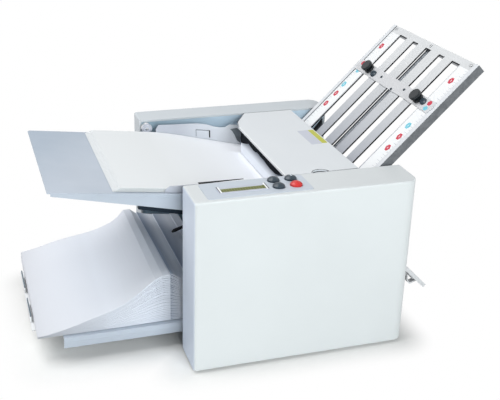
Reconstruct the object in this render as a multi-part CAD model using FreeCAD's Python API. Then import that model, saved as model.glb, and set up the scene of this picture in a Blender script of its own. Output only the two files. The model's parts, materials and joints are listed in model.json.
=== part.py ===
import FreeCAD, Part
import math
import os

# Desktop paper folding machine, in millimetres.
# X runs along the paper path, from the feed table (-X) to the fold plates (+X).
# Y runs across the sheet, from the operator's side housing to the rear one. Z is up.
# The model is drawn from the left end of the housings, their front face and their underside,
# and is moved at the end so that the origin is the centre of the footprint at floor level.

V = FreeCAD.Vector

# ---- driving dimensions: overall ----------------------------------------------------------

PAPER_WIDTH = 216.0
HOUSING_LENGTH = 290.0
HOUSING_HEIGHT = 228.0
FRONT_DEPTH = 56.0           # operator's side housing
REAR_DEPTH = 43.0
TABLE_MARGIN = 6.0           # table beyond the paper, each side
TABLE_SIDE_GAP = 11.5        # from the table to the side frame
PLATE_SIDE_GAP = 5.5         # from a fold plate to the side frame

# ---- clearances ---------------------------------------------------------------------------

FIT = 0.3                    # gap between pieces of different bodies
RUN = 0.05                   # radial running clearance
SLIP = 0.2                   # assembly gap between fixed pieces
PRESS = 0.0                  # radial clearance of pressed or bonded pieces

# ---- housings, frames, base ---------------------------------------------------------------

HOUSING_WALL = 2.5
HOUSING_BIG_R = 17.0         # outer corner at the fold plate end
HOUSING_SMALL_R = 4.0        # outer corner at the feed end
HOUSING_TOP_R = 2.4
FRAME_T = 2.0                # side frame sheet
SHEET_T = 1.2                # formed sheet metal
FOOT_H = 4.0
FOOT_R = 8.0
FOOT_INSET_LEFT = 24.0
FOOT_INSET_RIGHT = 28.0
TIE_R = 4.0
BASE_INSET_LEFT = 8.0
BASE_INSET_RIGHT = 20.0
BASE_FLANGE_H = 14.0
BASE_FLANGE_X0 = 70.0
BASE_FLANGE_INSET = 8.0      # from the plate's right end
END_TIE_INSET = 22.0         # tie rods, from the housings' right end
LOW_TIE_INSET = 20.0
END_TIE_DROP = 2.5           # below the middle roller's axis
FEED_TIE = (10.0, 32.5)      # left of the feed shaft, and below the middle roller's axis
LOW_TIE_Z = 60.0
END_COVER_INSET = 4.0        # sheet across the bay's right end
END_COVER_LIP = 12.0
END_COVER_RISE = 12.5        # its top above the middle roller's axis
END_COVER_DROP = 1.7         # its underside below the lower plate's line
SCREW_R = 3.2
SCREW_HEAD = 1.4
SCREW_INSET = 34.0
SCREW_LOW_Z = 16.0
SCREW_HIGH_DROP = 20.0
VENT_X0 = 60.0
VENT_COUNT = 9
VENT_PITCH = 7.0
VENT_W = 3.0
VENT_H = 40.0
VENT_DROP = 38.0             # top of the vents below the housing's top

# ---- control panel ------------------------------------------------------------------------

PANEL_X0 = 18.0
PANEL_LEN = 133.0
PANEL_FRONT = 7.0            # margin in front of the panel
PANEL_BACK = 2.5             # margin behind it
PANEL_T = 0.8
PANEL_R = 4.0
BUTTON_R = 7.5
BUTTON_DOME_R = 9.6
BUTTON_DOME_H = 4.0
BUTTON_COLLAR = 2.4          # straight part of a button above the housing
BUTTON_BARREL = 4.0          # and below its top
BUTTON_FLANGE = 1.5          # thickness and reach of its flange
BUTTON_COLS = (93.0, 115.5)  # from the panel's left edge
BUTTON_PITCH_Y = 20.0
BUTTON_SHIFT_Y = 2.75        # rows behind the panel's centre line
LCD_COLS = (17.5, 80.0)      # display bezel, from the panel's left edge
LCD_W = 16.5
LCD_SHIFT_Y = -11.5
LCD_T = 0.6
LCD_R = 1.0
LCD_MODULE_LAP = 4.0         # display module beyond the bezel, front and back
WINDOW_T = 1.5               # display window below the housing's top
LCD_LAP = (1.5, 1.5)         # bezel over the window
LCD_VIEW = (2.4, 3.0)        # bezel edge to the visible field
BOARD_DROP = 16.0            # control board below the housing's top
BOARD_T = 1.6
BOARD_MARGIN = 3.5           # board to the panel's back edge
BOARD_LEFT = 10.0            # and inside its other edges
BOARD_RIGHT = 1.0
BOARD_FRONT = 3.0
POST_R = 2.0
POST_INSET = 3.0             # board's posts from its edges
POST_LEFT = 4.0
PUSH_HALF = 3.0              # half the width of a push switch
PUSH_DROP = 7.5              # its top below the housing's top

# ---- paper feed ---------------------------------------------------------------------------

TABLE_OVERHANG = 160.0       # feed table beyond the housings' left end
TABLE_RISE = 2.5             # its free end above the housings' top
TABLE_BEND_X = 30.0          # the table meets the steeper ramp here
TABLE_BEND_DROP = 19.5
TABLE_TRIM = 4.0
TABLE_FLANGE_TIP = 4.5       # depth of the side flange at the free end
TABLE_FLANGE_ROOT = 24.0     # and where it meets the machine
RAMP_END_DROP = 48.8
RAMP_INSET = 14.0            # the ramp is narrower than the table, each side
RAMP_TO_FEED = 10.0
ARM_X0 = -52.0
ARM_T = 6.0
ARM_PIN_R = 5.0
ARM_DEPTH_LEFT = 21.0
ARM_DEPTH_RIGHT = 30.0
ARM_INSET = 4.0              # arm's end before the table's bend
ARM_PIN_X = 14.0             # its pin before the bend
ARM_PIN_DROP = 14.1          # and below the table
FEED_R = 17.0
FEED_W = 34.0
FEED_PITCH_Y = 62.0
FEED_LIFT = 7.5              # feed tyre above the line of the ramp
PAD_T = 3.0
PAD_LEN = 16.0
PAD_W = 40.0
PAD_SEAT = 2.0               # seat beyond the pad, each side
SEAT_LAP = 1.0               # and its foot below the chute
CHUTE_SIDE = 0.5             # both chutes to the side frames
FEED_CHUTE_START = (1.0, 3.0)    # left of the ramp's end, and below it
FEED_CHUTE_KNEE = (12.0, 10.2)   # right of the feed shaft, and below the ramp's end
FEED_CHUTE_NOSE = (11.0, 3.5)    # left of the first rollers, and above the middle roller's axis
CROSS_TO_FEED = 48.0         # ramp's cross bar to the feed shaft
CROSS_W = 4.0
CROSS_DEPTH = 15.5           # its underside below the ramp
APRON_T = 3.8                # bar under the table's bend
APRON_DROP = (16.5, 4.5)     # its underside and top below the bend
NECK_T = 1.6                 # web from that bar up to the ramp
NECK_LAP = 1.0
STACK_LEFT = -82.0
STACK_T = 7.5
STACK_END_T = 5.5            # its leading edge, pressed down before the feed tyres
STACK_NOSE = 12.0            # length of the pressed stretch
GUIDE_T = 1.2
GUIDE_PAPER_GAP = 0.5
GUIDE_BOSS_T = 8.0
GUIDE_BOSS_LEN = 16.0
GUIDE_ROD_X = 62.0
GUIDE_ROD_R = 3.0
GUIDE_ROD_DROP = 14.7        # guide rod below the ramp
GUIDE_TOP_DROP = 6.0         # guides below the housings' top
GUIDE_STEP = 6.0             # guide's foot starts this far past the table's bend
GUIDE_FOOT_R = 8.0           # and reaches this far above and below its rod
GUIDE_FOOT_CUT = (16.0, 4.0)
GUIDE_BOSS_LIFT = 0.5
GUIDE_END_CUT = (6.0, 12.0)
FRONT_GUIDE_START = ((-18.0, 4.0), (-12.0, 0.0))    # its upper edge: x, and the drop from its top
FRONT_GUIDE_END = ((12.0, 2.0), (0.0, 8.0))         # back from its end, and the drop
GUIDE_TO_CROSS = 2.0
REAR_GUIDE_FOOT = (4.0, 3.2)                        # below the front guide's foot, below the ramp's end
REAR_GUIDE_CREST = (         # its upper edge: x, and the drop below the housings' top
    (20.0, 9.0), (24.0, 3.0), (52.0, 4.0), (81.0, 5.0), (96.0, 7.7), (106.0, 11.5),
    (116.0, 14.0), (124.0, 14.5), (131.0, 11.0), (142.0, 12.0), (148.0, 17.0),
)
GUIDE_KNOB_X = 8.6
GUIDE_KNOB_DROP = 9.4
GUIDE_KNOB_R = 6.0
GUIDE_KNOB_RIM_R = 7.5
KNOB_STUD_R = 2.0
KNOB_LEN = 11.0
KNOB_RIM = (9.0, 3.0)        # its wide part, from the side frame
KNOB_STUD_IN = 1.0           # stud inside the knob, and beyond the frame
KNOB_STUD_OUT = 3.0

# ---- fold rollers and drive ---------------------------------------------------------------

ROLLER_R = 14.0
ROLLER_NIP = 0.6             # gap between neighbouring fold rollers
ROLLER_END_GAP = 6.0         # from roller end to side frame
ROLLER_TO_END = 75.0         # middle roller to the housings' right end
ROLLER_DROP = 75.5           # middle roller below the housings' top
FEED_TO_ROLLER = 55.0
SHAFT_R = 5.0
SHAFT_STUB = 4.0             # shaft beyond the side frame
BUSH_WALL = 2.5
BUSH_STUB = 1.5
GEAR_TEETH = 20
GEAR_W = 8.0
GEAR_TO_FRAME = 3.0
BELT_W = 5.0
BELT_T = 1.4
BELT_GAP = 0.4
PULLEY_STEP = 3.0            # between the two belt planes
DRIVE_PULLEY_R = 14.0
FEED_PULLEY_R = 10.0
MOTOR_PULLEY_R = 8.0
MOTOR_R = 26.0
MOTOR_LEN = 10.0
MOTOR_NECK_R = 12.0
MOTOR_NECK = 2.0
MOTOR_SPINDLE_R = 2.5
MOTOR_TO_ROLLER = 95.0
MOTOR_Z = 84.0
EXIT_X = 85.0
EXIT_R = 12.0
EXIT_W = 16.0
EXIT_PITCH_Y = 80.0
EXIT_RISE = 56.0             # exit chute above the tray
CHUTE_LAP = 12.0             # chute beyond the exit wheels, towards the tray
CHUTE_LEVEL = 50.0           # length of the chute's last, nearly level stretch
CHUTE_FALL = 4.0             # and its fall
CHUTE_TO_ROLLER = 0.5
CHUTE_BEND = (25.0, 21.0)    # bend left of the middle roller, below the exit roller's underside
SUPPLY_X0 = 30.0             # power supply board
SUPPLY_Z = (24.0, 124.0)
SUPPLY_BLOCKS = (            # from the board's left end, length, underside, height, depth
    (6.0, 22.0, 34.0, 36.0, 22.4),
    (15.0, 22.0, 80.0, 36.0, 16.4),
)
SUPPLY_TO_BUSH = 0.5         # board to the exit shaft's bush
CAPACITOR_R = 7.5
CAPACITOR_Z = 50.0
CAPACITOR_LEN = 20.4
INLET_TO_END = 54.0
INLET_Z = 34.0
INLET_W = 48.0
INLET_H = 27.5
INLET_PLATE_T = 2.0
INLET_PLATE_R = 3.0
INLET_LAP = 2.0              # inlet plate over the hole in the housing
WELL_HALF = (14.0, 9.0)      # moulding behind the inlet plate
WELL_LEN = 20.0
WELL_WALL = 2.0
WELL_FLOOR = 3.0
PIN_PITCH = 6.5
PIN_HALF = (1.0, 2.0)
PIN_LEN = 12.0
SWITCH_TO_END = 100.0
SWITCH_W = 21.0
SWITCH_H = 15.0
SWITCH_PIVOT_IN = 3.0        # rocker pivot inside the housing's rear face
SWITCH_PIVOT_R = 4.0
SWITCH_LIP = 1.5             # switch frame over the hole
SWITCH_FRAME_T = 1.0
SWITCH_DEPTH = 16.0
SWITCH_POCKET = 12.0
SWITCH_SIDE = 2.0            # wall of the switch's socket
ROCKER_INSET = 3.3           # rocker key inside the switch, each end
ROCKER_BACK = 1.0
ROCKER_TIP = 1.2             # key beyond the housing's face
ROCKER_RISE = 2.2            # its raised end

# ---- top cover ----------------------------------------------------------------------------

COVER_LEN = 101.0
COVER_TO_END = 58.0
COVER_T = 2.5
COVER_LIP = 3.5
COVER_LIP_T = 2.0
COVER_GAP = 1.0              # cover to side frame
COVER_CORNER = ((27.0, 0.0), (5.0, 38.0), (0.0, 60.0))     # its cut rear left corner
COVER_LIP_X = 12.0           # start of its front lip
COVER_REAR_X = 5.0           # and of its rear lip, from the end of the cut corner
NOTCH_R = 12.0
NOTCH_SHIFT = (-2.0, -3.0)   # thumb notch from the middle of the front edge
LEDGE_FRONT_X = 9.0          # front ledge from the cover's left edge
LEDGE_INSET = 10.0           # both ledges end this far before the cover's right edge
LEDGE_W = 6.0
REST_T = 3.0                 # ledges that carry the fold plates
REST_LEN = 30.0
REST_INSET = 2.0             # upper ledge from the start of the rails
REST_LAP = 5.0               # ledge under a plate's edge

# ---- fold plates --------------------------------------------------------------------------

PLATE_ANGLE = 44.6           # upper fold plate above the horizontal
LOWER_ANGLE = 45.0           # lower fold plate below the horizontal
MOUTH_CLEARANCE = 10.0       # plates start this far past one roller distance from their nip
PLATE_LEN = 228.0
PLATE_PASSAGE = 3.0          # gap between the two sheets of a fold plate
RAIL_W = 8.0
RAIL_T = 1.5
RAIL_DEPTH = 11.0
RAIL_START = 8.0
SPACER_W = 6.0               # spacer between the sheets, and the rail's lower lip
BACK_OUT = 2.0               # lower sheet short of the upper one at the outer end
SLOT_PITCH = 37.5
SLOT_W = 14.4
OUTER_SLOT_W = 20.4
SLOT_TOP_MARGIN = 10.0
SLOT_LOW_MARGIN = 8.0
BACK_LOW_MARGIN = 10.0       # the lower sheet's slots start a little higher up
BACK_SLOT_EXTRA = 7.0        # and are wider, each side
ROD_R = 2.5
ROD_Y = 10.0                 # rod under the plate, from its centre line
ROD_BLOCK = 8.0              # length of the blocks that hold it
ROD_BLOCK_OUT = 10.0         # outer block from the plate's outer end
ROD_BLOCK_DEPTH = 4.0        # below the rod's axis
STOP_S = 80.0                # stop bar centre, down from the upper edge
STOP_W = 18.0
STOP_T = 2.0
STOP_KNOB_X = 1.5            # from the stop bar's centre line to its knobs
STOP_FINGER = (8.0, 1.0)     # bar between the sheets, from the stop bar's centre line
STOP_FINGER_INSET = 24.0
STOP_LINK = (7.0, 2.0)       # links through the slots, likewise
STOP_LINK_HALF = 5.0
LINK_LAP = 0.5               # links inside the bars they join
UPPER_KNOB_H = 11.0
UPPER_KNOB_R = 8.5
UPPER_STUD = 6.5
LOWER_KNOB_H = 13.0
LOWER_KNOB_R = 8.0
LOWER_STUD = 5.5
STUD_R = 2.5
POINTER = 3.0
POINTER_HALF = 4.0           # half its width, and the length of its root
POINTER_OUT = 0.5            # root beyond the stop bar's end
POINTER_T = 1.1
LOWER_LEN = 138.0
LOWER_STOP_IN = 21.0         # lower stop from the plate's outer end
LOWER_SLOT_W = 14.0
LOWER_RIM = 4.0              # width of the strips that close the lower plate's edges
LOWER_RIM_START = 6.0
LOWER_SLOT_MARGIN = (16.0, 10.0)
LOWER_STOP_HALF = 6.0
LOWER_STOP_INSET = 10.0      # stop narrower than the plate, each side
LOWER_FINGER_HALF = 4.0
LOWER_FINGER_INSET = 8.0
LOWER_LINK_HALF = 3.0
HOOK_W = 8.0                 # spring leg under the lower stop, and its line
HOOK_OUTER = ((-12.0, 0.0), (2.0, 9.5), (8.0, 9.5), (12.0, 0.0))
HOOK_INNER = ((10.0, 0.0), (6.5, 7.5), (2.5, 7.5), (-8.5, 0.0))

# ---- outfeed ------------------------------------------------------------------------------

TRAY_LEFT = -150.0
TRAY_RIGHT = 60.0
TRAY_TOP = 32.0
TRAY_FLANGE = 16.0
TRAY_BEND = 6.5              # upright part of the flange
TRAY_LEAN = 2.0              # its lower part leans in by this much
PILE_LEFT = -182.0
PILE_RIGHT = 52.0
TAB_RISE = 10.0
TAB_W = 45.0
TAB_PITCH_Y = 39.5
TAB_T = 1.5
TAB_TO_PILE = 4.0            # outer face of the tabs from the pile
SLIDE_INSET = 27.0           # end stop's slide narrower than the paper, each side
SLIDE_LAP = 80.0             # and how far it reaches under the tray

# Height of the folded pile above the tray, at distances from the pile's right end.
PILE_PROFILE = ((0.0, 50.0), (12.0, 53.0), (39.0, 59.0), (60.0, 66.0), (72.0, 70.5), (81.0, 69.5),
                (88.0, 65.0), (98.0, 54.0), (108.0, 48.0), (128.0, 40.5), (172.0, 32.0),
                (200.0, 28.0))
PILE_LEFT_H = 17.0

# ---- values worked out from them ----------------------------------------------------------

TABLE_WIDTH = PAPER_WIDTH + 2 * TABLE_MARGIN
BAY_WIDTH = TABLE_WIDTH + 2 * TABLE_SIDE_GAP
PLATE_WIDTH = BAY_WIDTH - 2 * PLATE_SIDE_GAP
WIDTH = FRONT_DEPTH + BAY_WIDTH + REAR_DEPTH
BAY_0 = FRONT_DEPTH                       # inner face of the front side frame
BAY_1 = FRONT_DEPTH + BAY_WIDTH           # inner face of the rear side frame
FRONT_IN = BAY_0 - FRAME_T                # outer faces of the side frames
REAR_IN = BAY_1 + FRAME_T
MID_Y = (BAY_0 + BAY_1) / 2
TABLE_0 = MID_Y - TABLE_WIDTH / 2
TABLE_1 = MID_Y + TABLE_WIDTH / 2
PAPER_0 = MID_Y - PAPER_WIDTH / 2
PAPER_1 = MID_Y + PAPER_WIDTH / 2

ROLLER_X = HOUSING_LENGTH - ROLLER_TO_END
ROLLER_Z = HOUSING_HEIGHT - ROLLER_DROP
CENTRE_D = 2 * ROLLER_R + ROLLER_NIP      # distance between neighbouring roller axes
HALF = CENTRE_D * math.sqrt(0.5)
ROLLERS = (
    (ROLLER_X - HALF, ROLLER_Z + HALF),
    (ROLLER_X, ROLLER_Z),
    (ROLLER_X + HALF, ROLLER_Z + HALF),
    (ROLLER_X + HALF, ROLLER_Z - HALF),
)

FEED_X = ROLLER_X - FEED_TO_ROLLER
RAMP_END_X = FEED_X - RAMP_TO_FEED
TABLE_LEFT = -TABLE_OVERHANG
TABLE_LEFT_Z = HOUSING_HEIGHT + TABLE_RISE
TABLE_BEND_Z = HOUSING_HEIGHT - TABLE_BEND_DROP
RAMP_END_Z = HOUSING_HEIGHT - RAMP_END_DROP
TABLE_SLOPE = (TABLE_BEND_Z - TABLE_LEFT_Z) / (TABLE_BEND_X - TABLE_LEFT)
RAMP_SLOPE = (RAMP_END_Z - TABLE_BEND_Z) / (RAMP_END_X - TABLE_BEND_X)
FEED_Z = RAMP_END_Z + RAMP_SLOPE * RAMP_TO_FEED + FEED_R + FEED_LIFT
PAD_TOP = FEED_Z - FEED_R - FIT
EXIT_Z = TRAY_TOP + EXIT_RISE + EXIT_R + FIT

PANEL_X1 = PANEL_X0 + PANEL_LEN
PANEL_Y0 = PANEL_FRONT
PANEL_Y1 = FRONT_DEPTH - PANEL_BACK
PANEL_MID = (PANEL_Y0 + PANEL_Y1) / 2
ROW_MID = PANEL_MID + BUTTON_SHIFT_Y
BUTTON_XS = tuple(PANEL_X0 + c for c in BUTTON_COLS)
BUTTON_YS = (ROW_MID - BUTTON_PITCH_Y / 2, ROW_MID + BUTTON_PITCH_Y / 2)
BUTTON_SPOTS = tuple((x, y) for y in BUTTON_YS for x in BUTTON_XS)
BUTTON_HOLE_R = BUTTON_R + FIT + 0.1
LCD_X0 = PANEL_X0 + LCD_COLS[0]
LCD_X1 = PANEL_X0 + LCD_COLS[1]
LCD_Y0 = PANEL_MID + LCD_SHIFT_Y
LCD_Y1 = LCD_Y0 + LCD_W

BUSH_R = SHAFT_R + BUSH_WALL
SHAFT_SPOTS = ROLLERS + ((FEED_X, FEED_Z), (EXIT_X, EXIT_Z))
GEAR_Y = REAR_IN + GEAR_TO_FRAME
DRIVE_Y = GEAR_Y + GEAR_W + BUSH_STUB
FEED_BELT_Y = DRIVE_Y + BELT_W + PULLEY_STEP
MOTOR_X = ROLLER_X - MOTOR_TO_ROLLER
INLET_X = HOUSING_LENGTH - INLET_TO_END
SWITCH_X = HOUSING_LENGTH - SWITCH_TO_END
PIVOT_Y = WIDTH - SWITCH_PIVOT_IN

GUIDE_KNOB_Z = HOUSING_HEIGHT - GUIDE_KNOB_DROP
GUIDE_TOP = HOUSING_HEIGHT - GUIDE_TOP_DROP
CROSS_X = FEED_X - CROSS_TO_FEED

COVER_RIGHT = HOUSING_LENGTH - COVER_TO_END
COVER_LEFT = COVER_RIGHT - COVER_LEN
COVER_REAR_LIP = COVER_LEFT + COVER_CORNER[0][0] + COVER_REAR_X
LIP_Z = HOUSING_HEIGHT - COVER_T - COVER_LIP
LEDGE_Z = LIP_Z - FIT

MOUTH = CENTRE_D + MOUTH_CLEARANCE        # a plate's inner end from its nip
FACE_N = PLATE_PASSAGE / 2 + SHEET_T      # a plate's face from the paper's line
PLATE_BACK_N = -SHEET_T - PLATE_PASSAGE   # top of the upper plate's lower sheet
SLOT_SPOTS = tuple((k * SLOT_PITCH, OUTER_SLOT_W if abs(k) == 2 else SLOT_W)
                   for k in range(-2, 3))
KNOB_YS = (-2 * SLOT_PITCH, 2 * SLOT_PITCH)
LOWER_END = MOUTH + LOWER_LEN
LOWER_STOP_V = LOWER_END - LOWER_STOP_IN
BASE_Z = TRAY_TOP - TRAY_FLANGE - FIT
TIE_SPOTS = ((HOUSING_LENGTH - END_TIE_INSET, ROLLER_Z - END_TIE_DROP),
             (FEED_X - FEED_TIE[0], ROLLER_Z - FEED_TIE[1]),
             (HOUSING_LENGTH - LOW_TIE_INSET, LOW_TIE_Z))

parts = {}


def table_z(x):
    """Height of the feed surface: the table, then the steeper ramp."""
    if x <= TABLE_BEND_X:
        return TABLE_LEFT_Z + TABLE_SLOPE * (x - TABLE_LEFT)
    return TABLE_BEND_Z + RAMP_SLOPE * (x - TABLE_BEND_X)


GUIDE_ROD_Z = table_z(GUIDE_ROD_X) - GUIDE_ROD_DROP


# ---- small shape helpers ------------------------------------------------------------------

def box(x0, x1, y0, y1, z0, z1):
    return Part.makeBox(x1 - x0, y1 - y0, z1 - z0, V(x0, y0, z0))


def rod_y(x, z, y0, y1, r):
    return Part.makeCylinder(r, y1 - y0, V(x, y0, z), V(0, 1, 0))


def rod_z(x, y, z0, z1, r):
    return Part.makeCylinder(r, z1 - z0, V(x, y, z0), V(0, 0, 1))


def ring_y(x, z, y0, y1, r_out, r_in):
    return rod_y(x, z, y0, y1, r_out).cut(rod_y(x, z, y0 - 1, y1 + 1, r_in))


def prism(points, along):
    wire = Part.makePolygon(points + [points[0]])
    return Part.Face(wire).extrude(along)


def profile_y(points, y0, y1):
    """A closed outline in XZ, extruded across the machine."""
    return prism([V(x, y0, z) for x, z in points], V(0, y1 - y0, 0))


def profile_x(points, x0, x1):
    """A closed outline in YZ, extruded along the machine."""
    return prism([V(x0, y, z) for y, z in points], V(x1 - x0, 0, 0))


def plan_z(points, z0, z1):
    """A closed outline in XY, extruded upwards."""
    return prism([V(x, y, z0) for x, y in points], V(0, 0, z1 - z0))


def strip_y(points, t, y0, y1):
    """A bent sheet: an open line in XZ, thickened downwards by t, extruded across."""
    under = [(x, z - t) for x, z in reversed(points)]
    return profile_y(points + under, y0, y1)


def join(shapes):
    first, rest = shapes[0], list(shapes[1:])
    return first.fuse(rest).removeSplitter() if rest else first


def group(shapes):
    return Part.makeCompound(list(shapes))


def rounded_plan(x0, x1, y0, y1, radii):
    """Rectangle with its own radius at each corner: (x0,y0), (x1,y0), (x1,y1), (x0,y1)."""
    corners = [V(x0, y0, 0), V(x1, y0, 0), V(x1, y1, 0), V(x0, y1, 0)]
    steps = [V(1, 0, 0), V(0, 1, 0), V(-1, 0, 0), V(0, -1, 0)]
    edges, ends = [], []
    for i, corner in enumerate(corners):
        r = radii[i]
        before, after = steps[i - 1], steps[i]
        start, stop = corner - before * r, corner + after * r
        if r > 0:
            middle = start + after * r + (before - after) * (r * math.sqrt(0.5))
            edges.append(Part.Arc(start, middle, stop).toShape())
        ends.append((start, stop))
    for i in range(4):
        a, b = ends[i][1], ends[(i + 1) % 4][0]
        edges.append(Part.LineSegment(a, b).toShape())
    return Part.Face(Part.Wire(Part.__sortEdges__(edges)))


def rounded_box(x0, x1, y0, y1, z0, z1, radii):
    face = rounded_plan(x0, x1, y0, y1, radii)
    face.translate(V(0, 0, z0))
    return face.extrude(V(0, 0, z1 - z0))


def edges_at_height(shape, z, skip):
    """Edges lying at height z, without those that skip accepts."""
    found = []
    for edge in shape.Edges:
        b = edge.BoundBox
        if abs(b.ZMin - z) < 1e-6 and abs(b.ZMax - z) < 1e-6 and not skip(b):
            found.append(edge)
    return found


def gear_y(x, z, y0, y1, teeth, pitch_r, bore_r, phase):
    """Spur gear with straight-sided teeth; phase is the angle of one tooth."""
    module = 2 * pitch_r / teeth
    tip_r, root_r = pitch_r + 0.85 * module, pitch_r - 1.15 * module
    pitch = 2 * math.pi / teeth
    points = []
    for i in range(teeth):
        a = phase + i * pitch
        for r, share in ((root_r, -0.31), (tip_r, -0.12), (tip_r, 0.12), (root_r, 0.31)):
            b = a + share * pitch
            points.append((x + r * math.cos(b), z + r * math.sin(b)))
    return profile_y(points, y0, y1).cut(rod_y(x, z, y0 - 1, y1 + 1, bore_r))


def pulley_hull(a, ra, b, rb, y0, y1):
    """The shape inside a tight band round two discs."""
    (ax, az), (bx, bz) = a, b
    base = math.atan2(bz - az, bx - ax)
    lean = math.acos((ra - rb) / math.hypot(bx - ax, bz - az))
    points = []
    for sign, (px, pz), r in ((1, a, ra), (1, b, rb), (-1, b, rb), (-1, a, ra)):
        angle = base + sign * lean
        points.append((px + r * math.cos(angle), pz + r * math.sin(angle)))
    middle = profile_y(points, y0, y1)
    return join([middle, rod_y(ax, az, y0, y1, ra), rod_y(bx, bz, y0, y1, rb)])


def belt_y(a, ra, b, rb, y0, y1):
    """An open belt round two pulleys, just clear of them."""
    ra, rb = ra + BELT_GAP, rb + BELT_GAP
    outer = pulley_hull(a, ra + BELT_T, b, rb + BELT_T, y0, y1)
    return outer.cut(pulley_hull(a, ra, b, rb, y0, y1))


def on_upper(shape):
    """Places a shape drawn flat: x is 0 at the plate's outer end, y 0 in mid sheet, z 0 on its face."""
    along = MOUTH + PLATE_LEN
    shape = shape.copy()
    shape.translate(V(along, 0, FACE_N))
    shape.rotate(V(0, 0, 0), V(0, 1, 0), -PLATE_ANGLE)
    shape.translate(V(ROLLER_X - HALF / 2, MID_Y, ROLLER_Z + HALF / 2))
    return shape


def on_lower(shape):
    """Places a shape drawn flat: x runs out from the roller nip, z is 0 on the paper's line."""
    shape = shape.copy()
    shape.rotate(V(0, 0, 0), V(0, 1, 0), LOWER_ANGLE)
    shape.translate(V(ROLLER_X + HALF / 2, MID_Y, ROLLER_Z + HALF / 2))
    return shape


# ---- housings, frames and base ------------------------------------------------------------

def housing(y0, y1, open_high):
    """A moulded shell, open towards the bay between the housings."""
    big, small, w = HOUSING_BIG_R, HOUSING_SMALL_R, HOUSING_WALL
    outer_r = (small, big, 0.0, 0.0) if open_high else (0.0, 0.0, big, small)
    inner_r = tuple(max(r - w, 0.0) for r in outer_r)
    outer = rounded_box(0, HOUSING_LENGTH, y0, y1, 0, HOUSING_HEIGHT, outer_r)
    mouth = y1 if open_high else y0

    def at_mouth(b):
        return abs(b.YMin - mouth) < 1e-6 and abs(b.YMax - mouth) < 1e-6

    rim = edges_at_height(outer, HOUSING_HEIGHT, at_mouth)
    outer = outer.makeFillet(min(HOUSING_TOP_R, 0.96 * w), rim)
    in0 = y0 + w if open_high else y0 - 1
    in1 = y1 + 1 if open_high else y1 - w
    inner = rounded_box(w, HOUSING_LENGTH - w, in0, in1, w, HOUSING_HEIGHT - w, inner_r)
    return outer.cut(inner)


def window_cut(z0, z1):
    """The hole under the display window."""
    lap_x, lap_y = LCD_LAP
    return box(LCD_X0 + lap_x, LCD_X1 - lap_x, LCD_Y0 + lap_y, LCD_Y1 - lap_y, z0, z1)


def front_housing():
    z0, z1 = HOUSING_HEIGHT - HOUSING_WALL - 1, HOUSING_HEIGHT + 1
    holes = [rod_z(x, y, z0, z1, BUTTON_HOLE_R) for x, y in BUTTON_SPOTS]
    return housing(0, FRONT_DEPTH, True).cut(holes + [window_cut(z0, z1)])


def rear_housing():
    y0, y1 = WIDTH - HOUSING_WALL - 1, WIDTH + 1
    half_w, half_h = INLET_W / 2 - INLET_LAP, INLET_H / 2 - INLET_LAP
    cuts = [box(INLET_X - half_w, INLET_X + half_w, y0, y1, INLET_Z - half_h, INLET_Z + half_h),
            box(SWITCH_X - SWITCH_W / 2, SWITCH_X + SWITCH_W / 2, y0, y1,
                INLET_Z - SWITCH_H / 2, INLET_Z + SWITCH_H / 2)]
    top = HOUSING_HEIGHT - VENT_DROP
    for i in range(VENT_COUNT):
        x = VENT_X0 + VENT_PITCH * i
        cuts.append(box(x, x + VENT_W, y0, y1, top - VENT_H, top))
    return housing(BAY_1, WIDTH, False).cut(cuts)


def side_frame(y0, ledge_x, ledge0, ledge1, rest0, rest1):
    """Sheet that closes a housing's mouth, with shaft holes, a cover ledge and plate rests."""
    gap = HOUSING_WALL + SLIP
    plate = box(gap, HOUSING_LENGTH - gap, y0, y0 + FRAME_T, gap, HOUSING_HEIGHT - gap)
    ledge = box(ledge_x, COVER_RIGHT - LEDGE_INSET, ledge0, ledge1, LEDGE_Z - FRAME_T, LEDGE_Z)
    holes = [rod_y(x, z, y0 - 1, y0 + FRAME_T + 1, BUSH_R) for x, z in SHAFT_SPOTS]
    holes.append(rod_y(GUIDE_KNOB_X, GUIDE_KNOB_Z, BAY_1 - 1, REAR_IN + 1, KNOB_STUD_R + RUN))
    start = -PLATE_LEN + RAIL_START + REST_INSET
    top = -RAIL_DEPTH - FIT
    upper = box(start, start + REST_LEN, rest0, rest1, top - REST_T, top)
    start = MOUTH + RAIL_START
    top = -FACE_N - FIT
    lower = box(start, start + REST_LEN, rest0, rest1, top - REST_T, top)
    return join([plate, ledge, on_upper(upper), on_lower(lower)]).cut(holes)


def shaft_bushes():
    bushes = []
    for x, z in SHAFT_SPOTS:
        bushes.append(ring_y(x, z, FRONT_IN - BUSH_STUB, BAY_0, BUSH_R, SHAFT_R + RUN))
        bushes.append(ring_y(x, z, BAY_1, REAR_IN + BUSH_STUB, BUSH_R, SHAFT_R + RUN))
    return group(bushes)


def base_plate():
    x1 = HOUSING_LENGTH - BASE_INSET_RIGHT
    low = BASE_Z - SHEET_T
    base = box(BASE_INSET_LEFT, x1, BAY_0, BAY_1, low, BASE_Z)
    flanges = [box(BASE_FLANGE_X0, x1 - BASE_FLANGE_INSET, y, y + SHEET_T, low, BASE_Z + BASE_FLANGE_H)
               for y in (BAY_0, BAY_1 - SHEET_T)]
    return join([base] + flanges)


def cross_rods():
    """Tie rods between the side frames, and the rod that the paper guides slide on."""
    rods = [rod_y(x, z, BAY_0, BAY_1, TIE_R) for x, z in TIE_SPOTS]
    rods.append(rod_y(GUIDE_ROD_X, GUIDE_ROD_Z, BAY_0, BAY_1, GUIDE_ROD_R))
    return group(rods)


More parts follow.
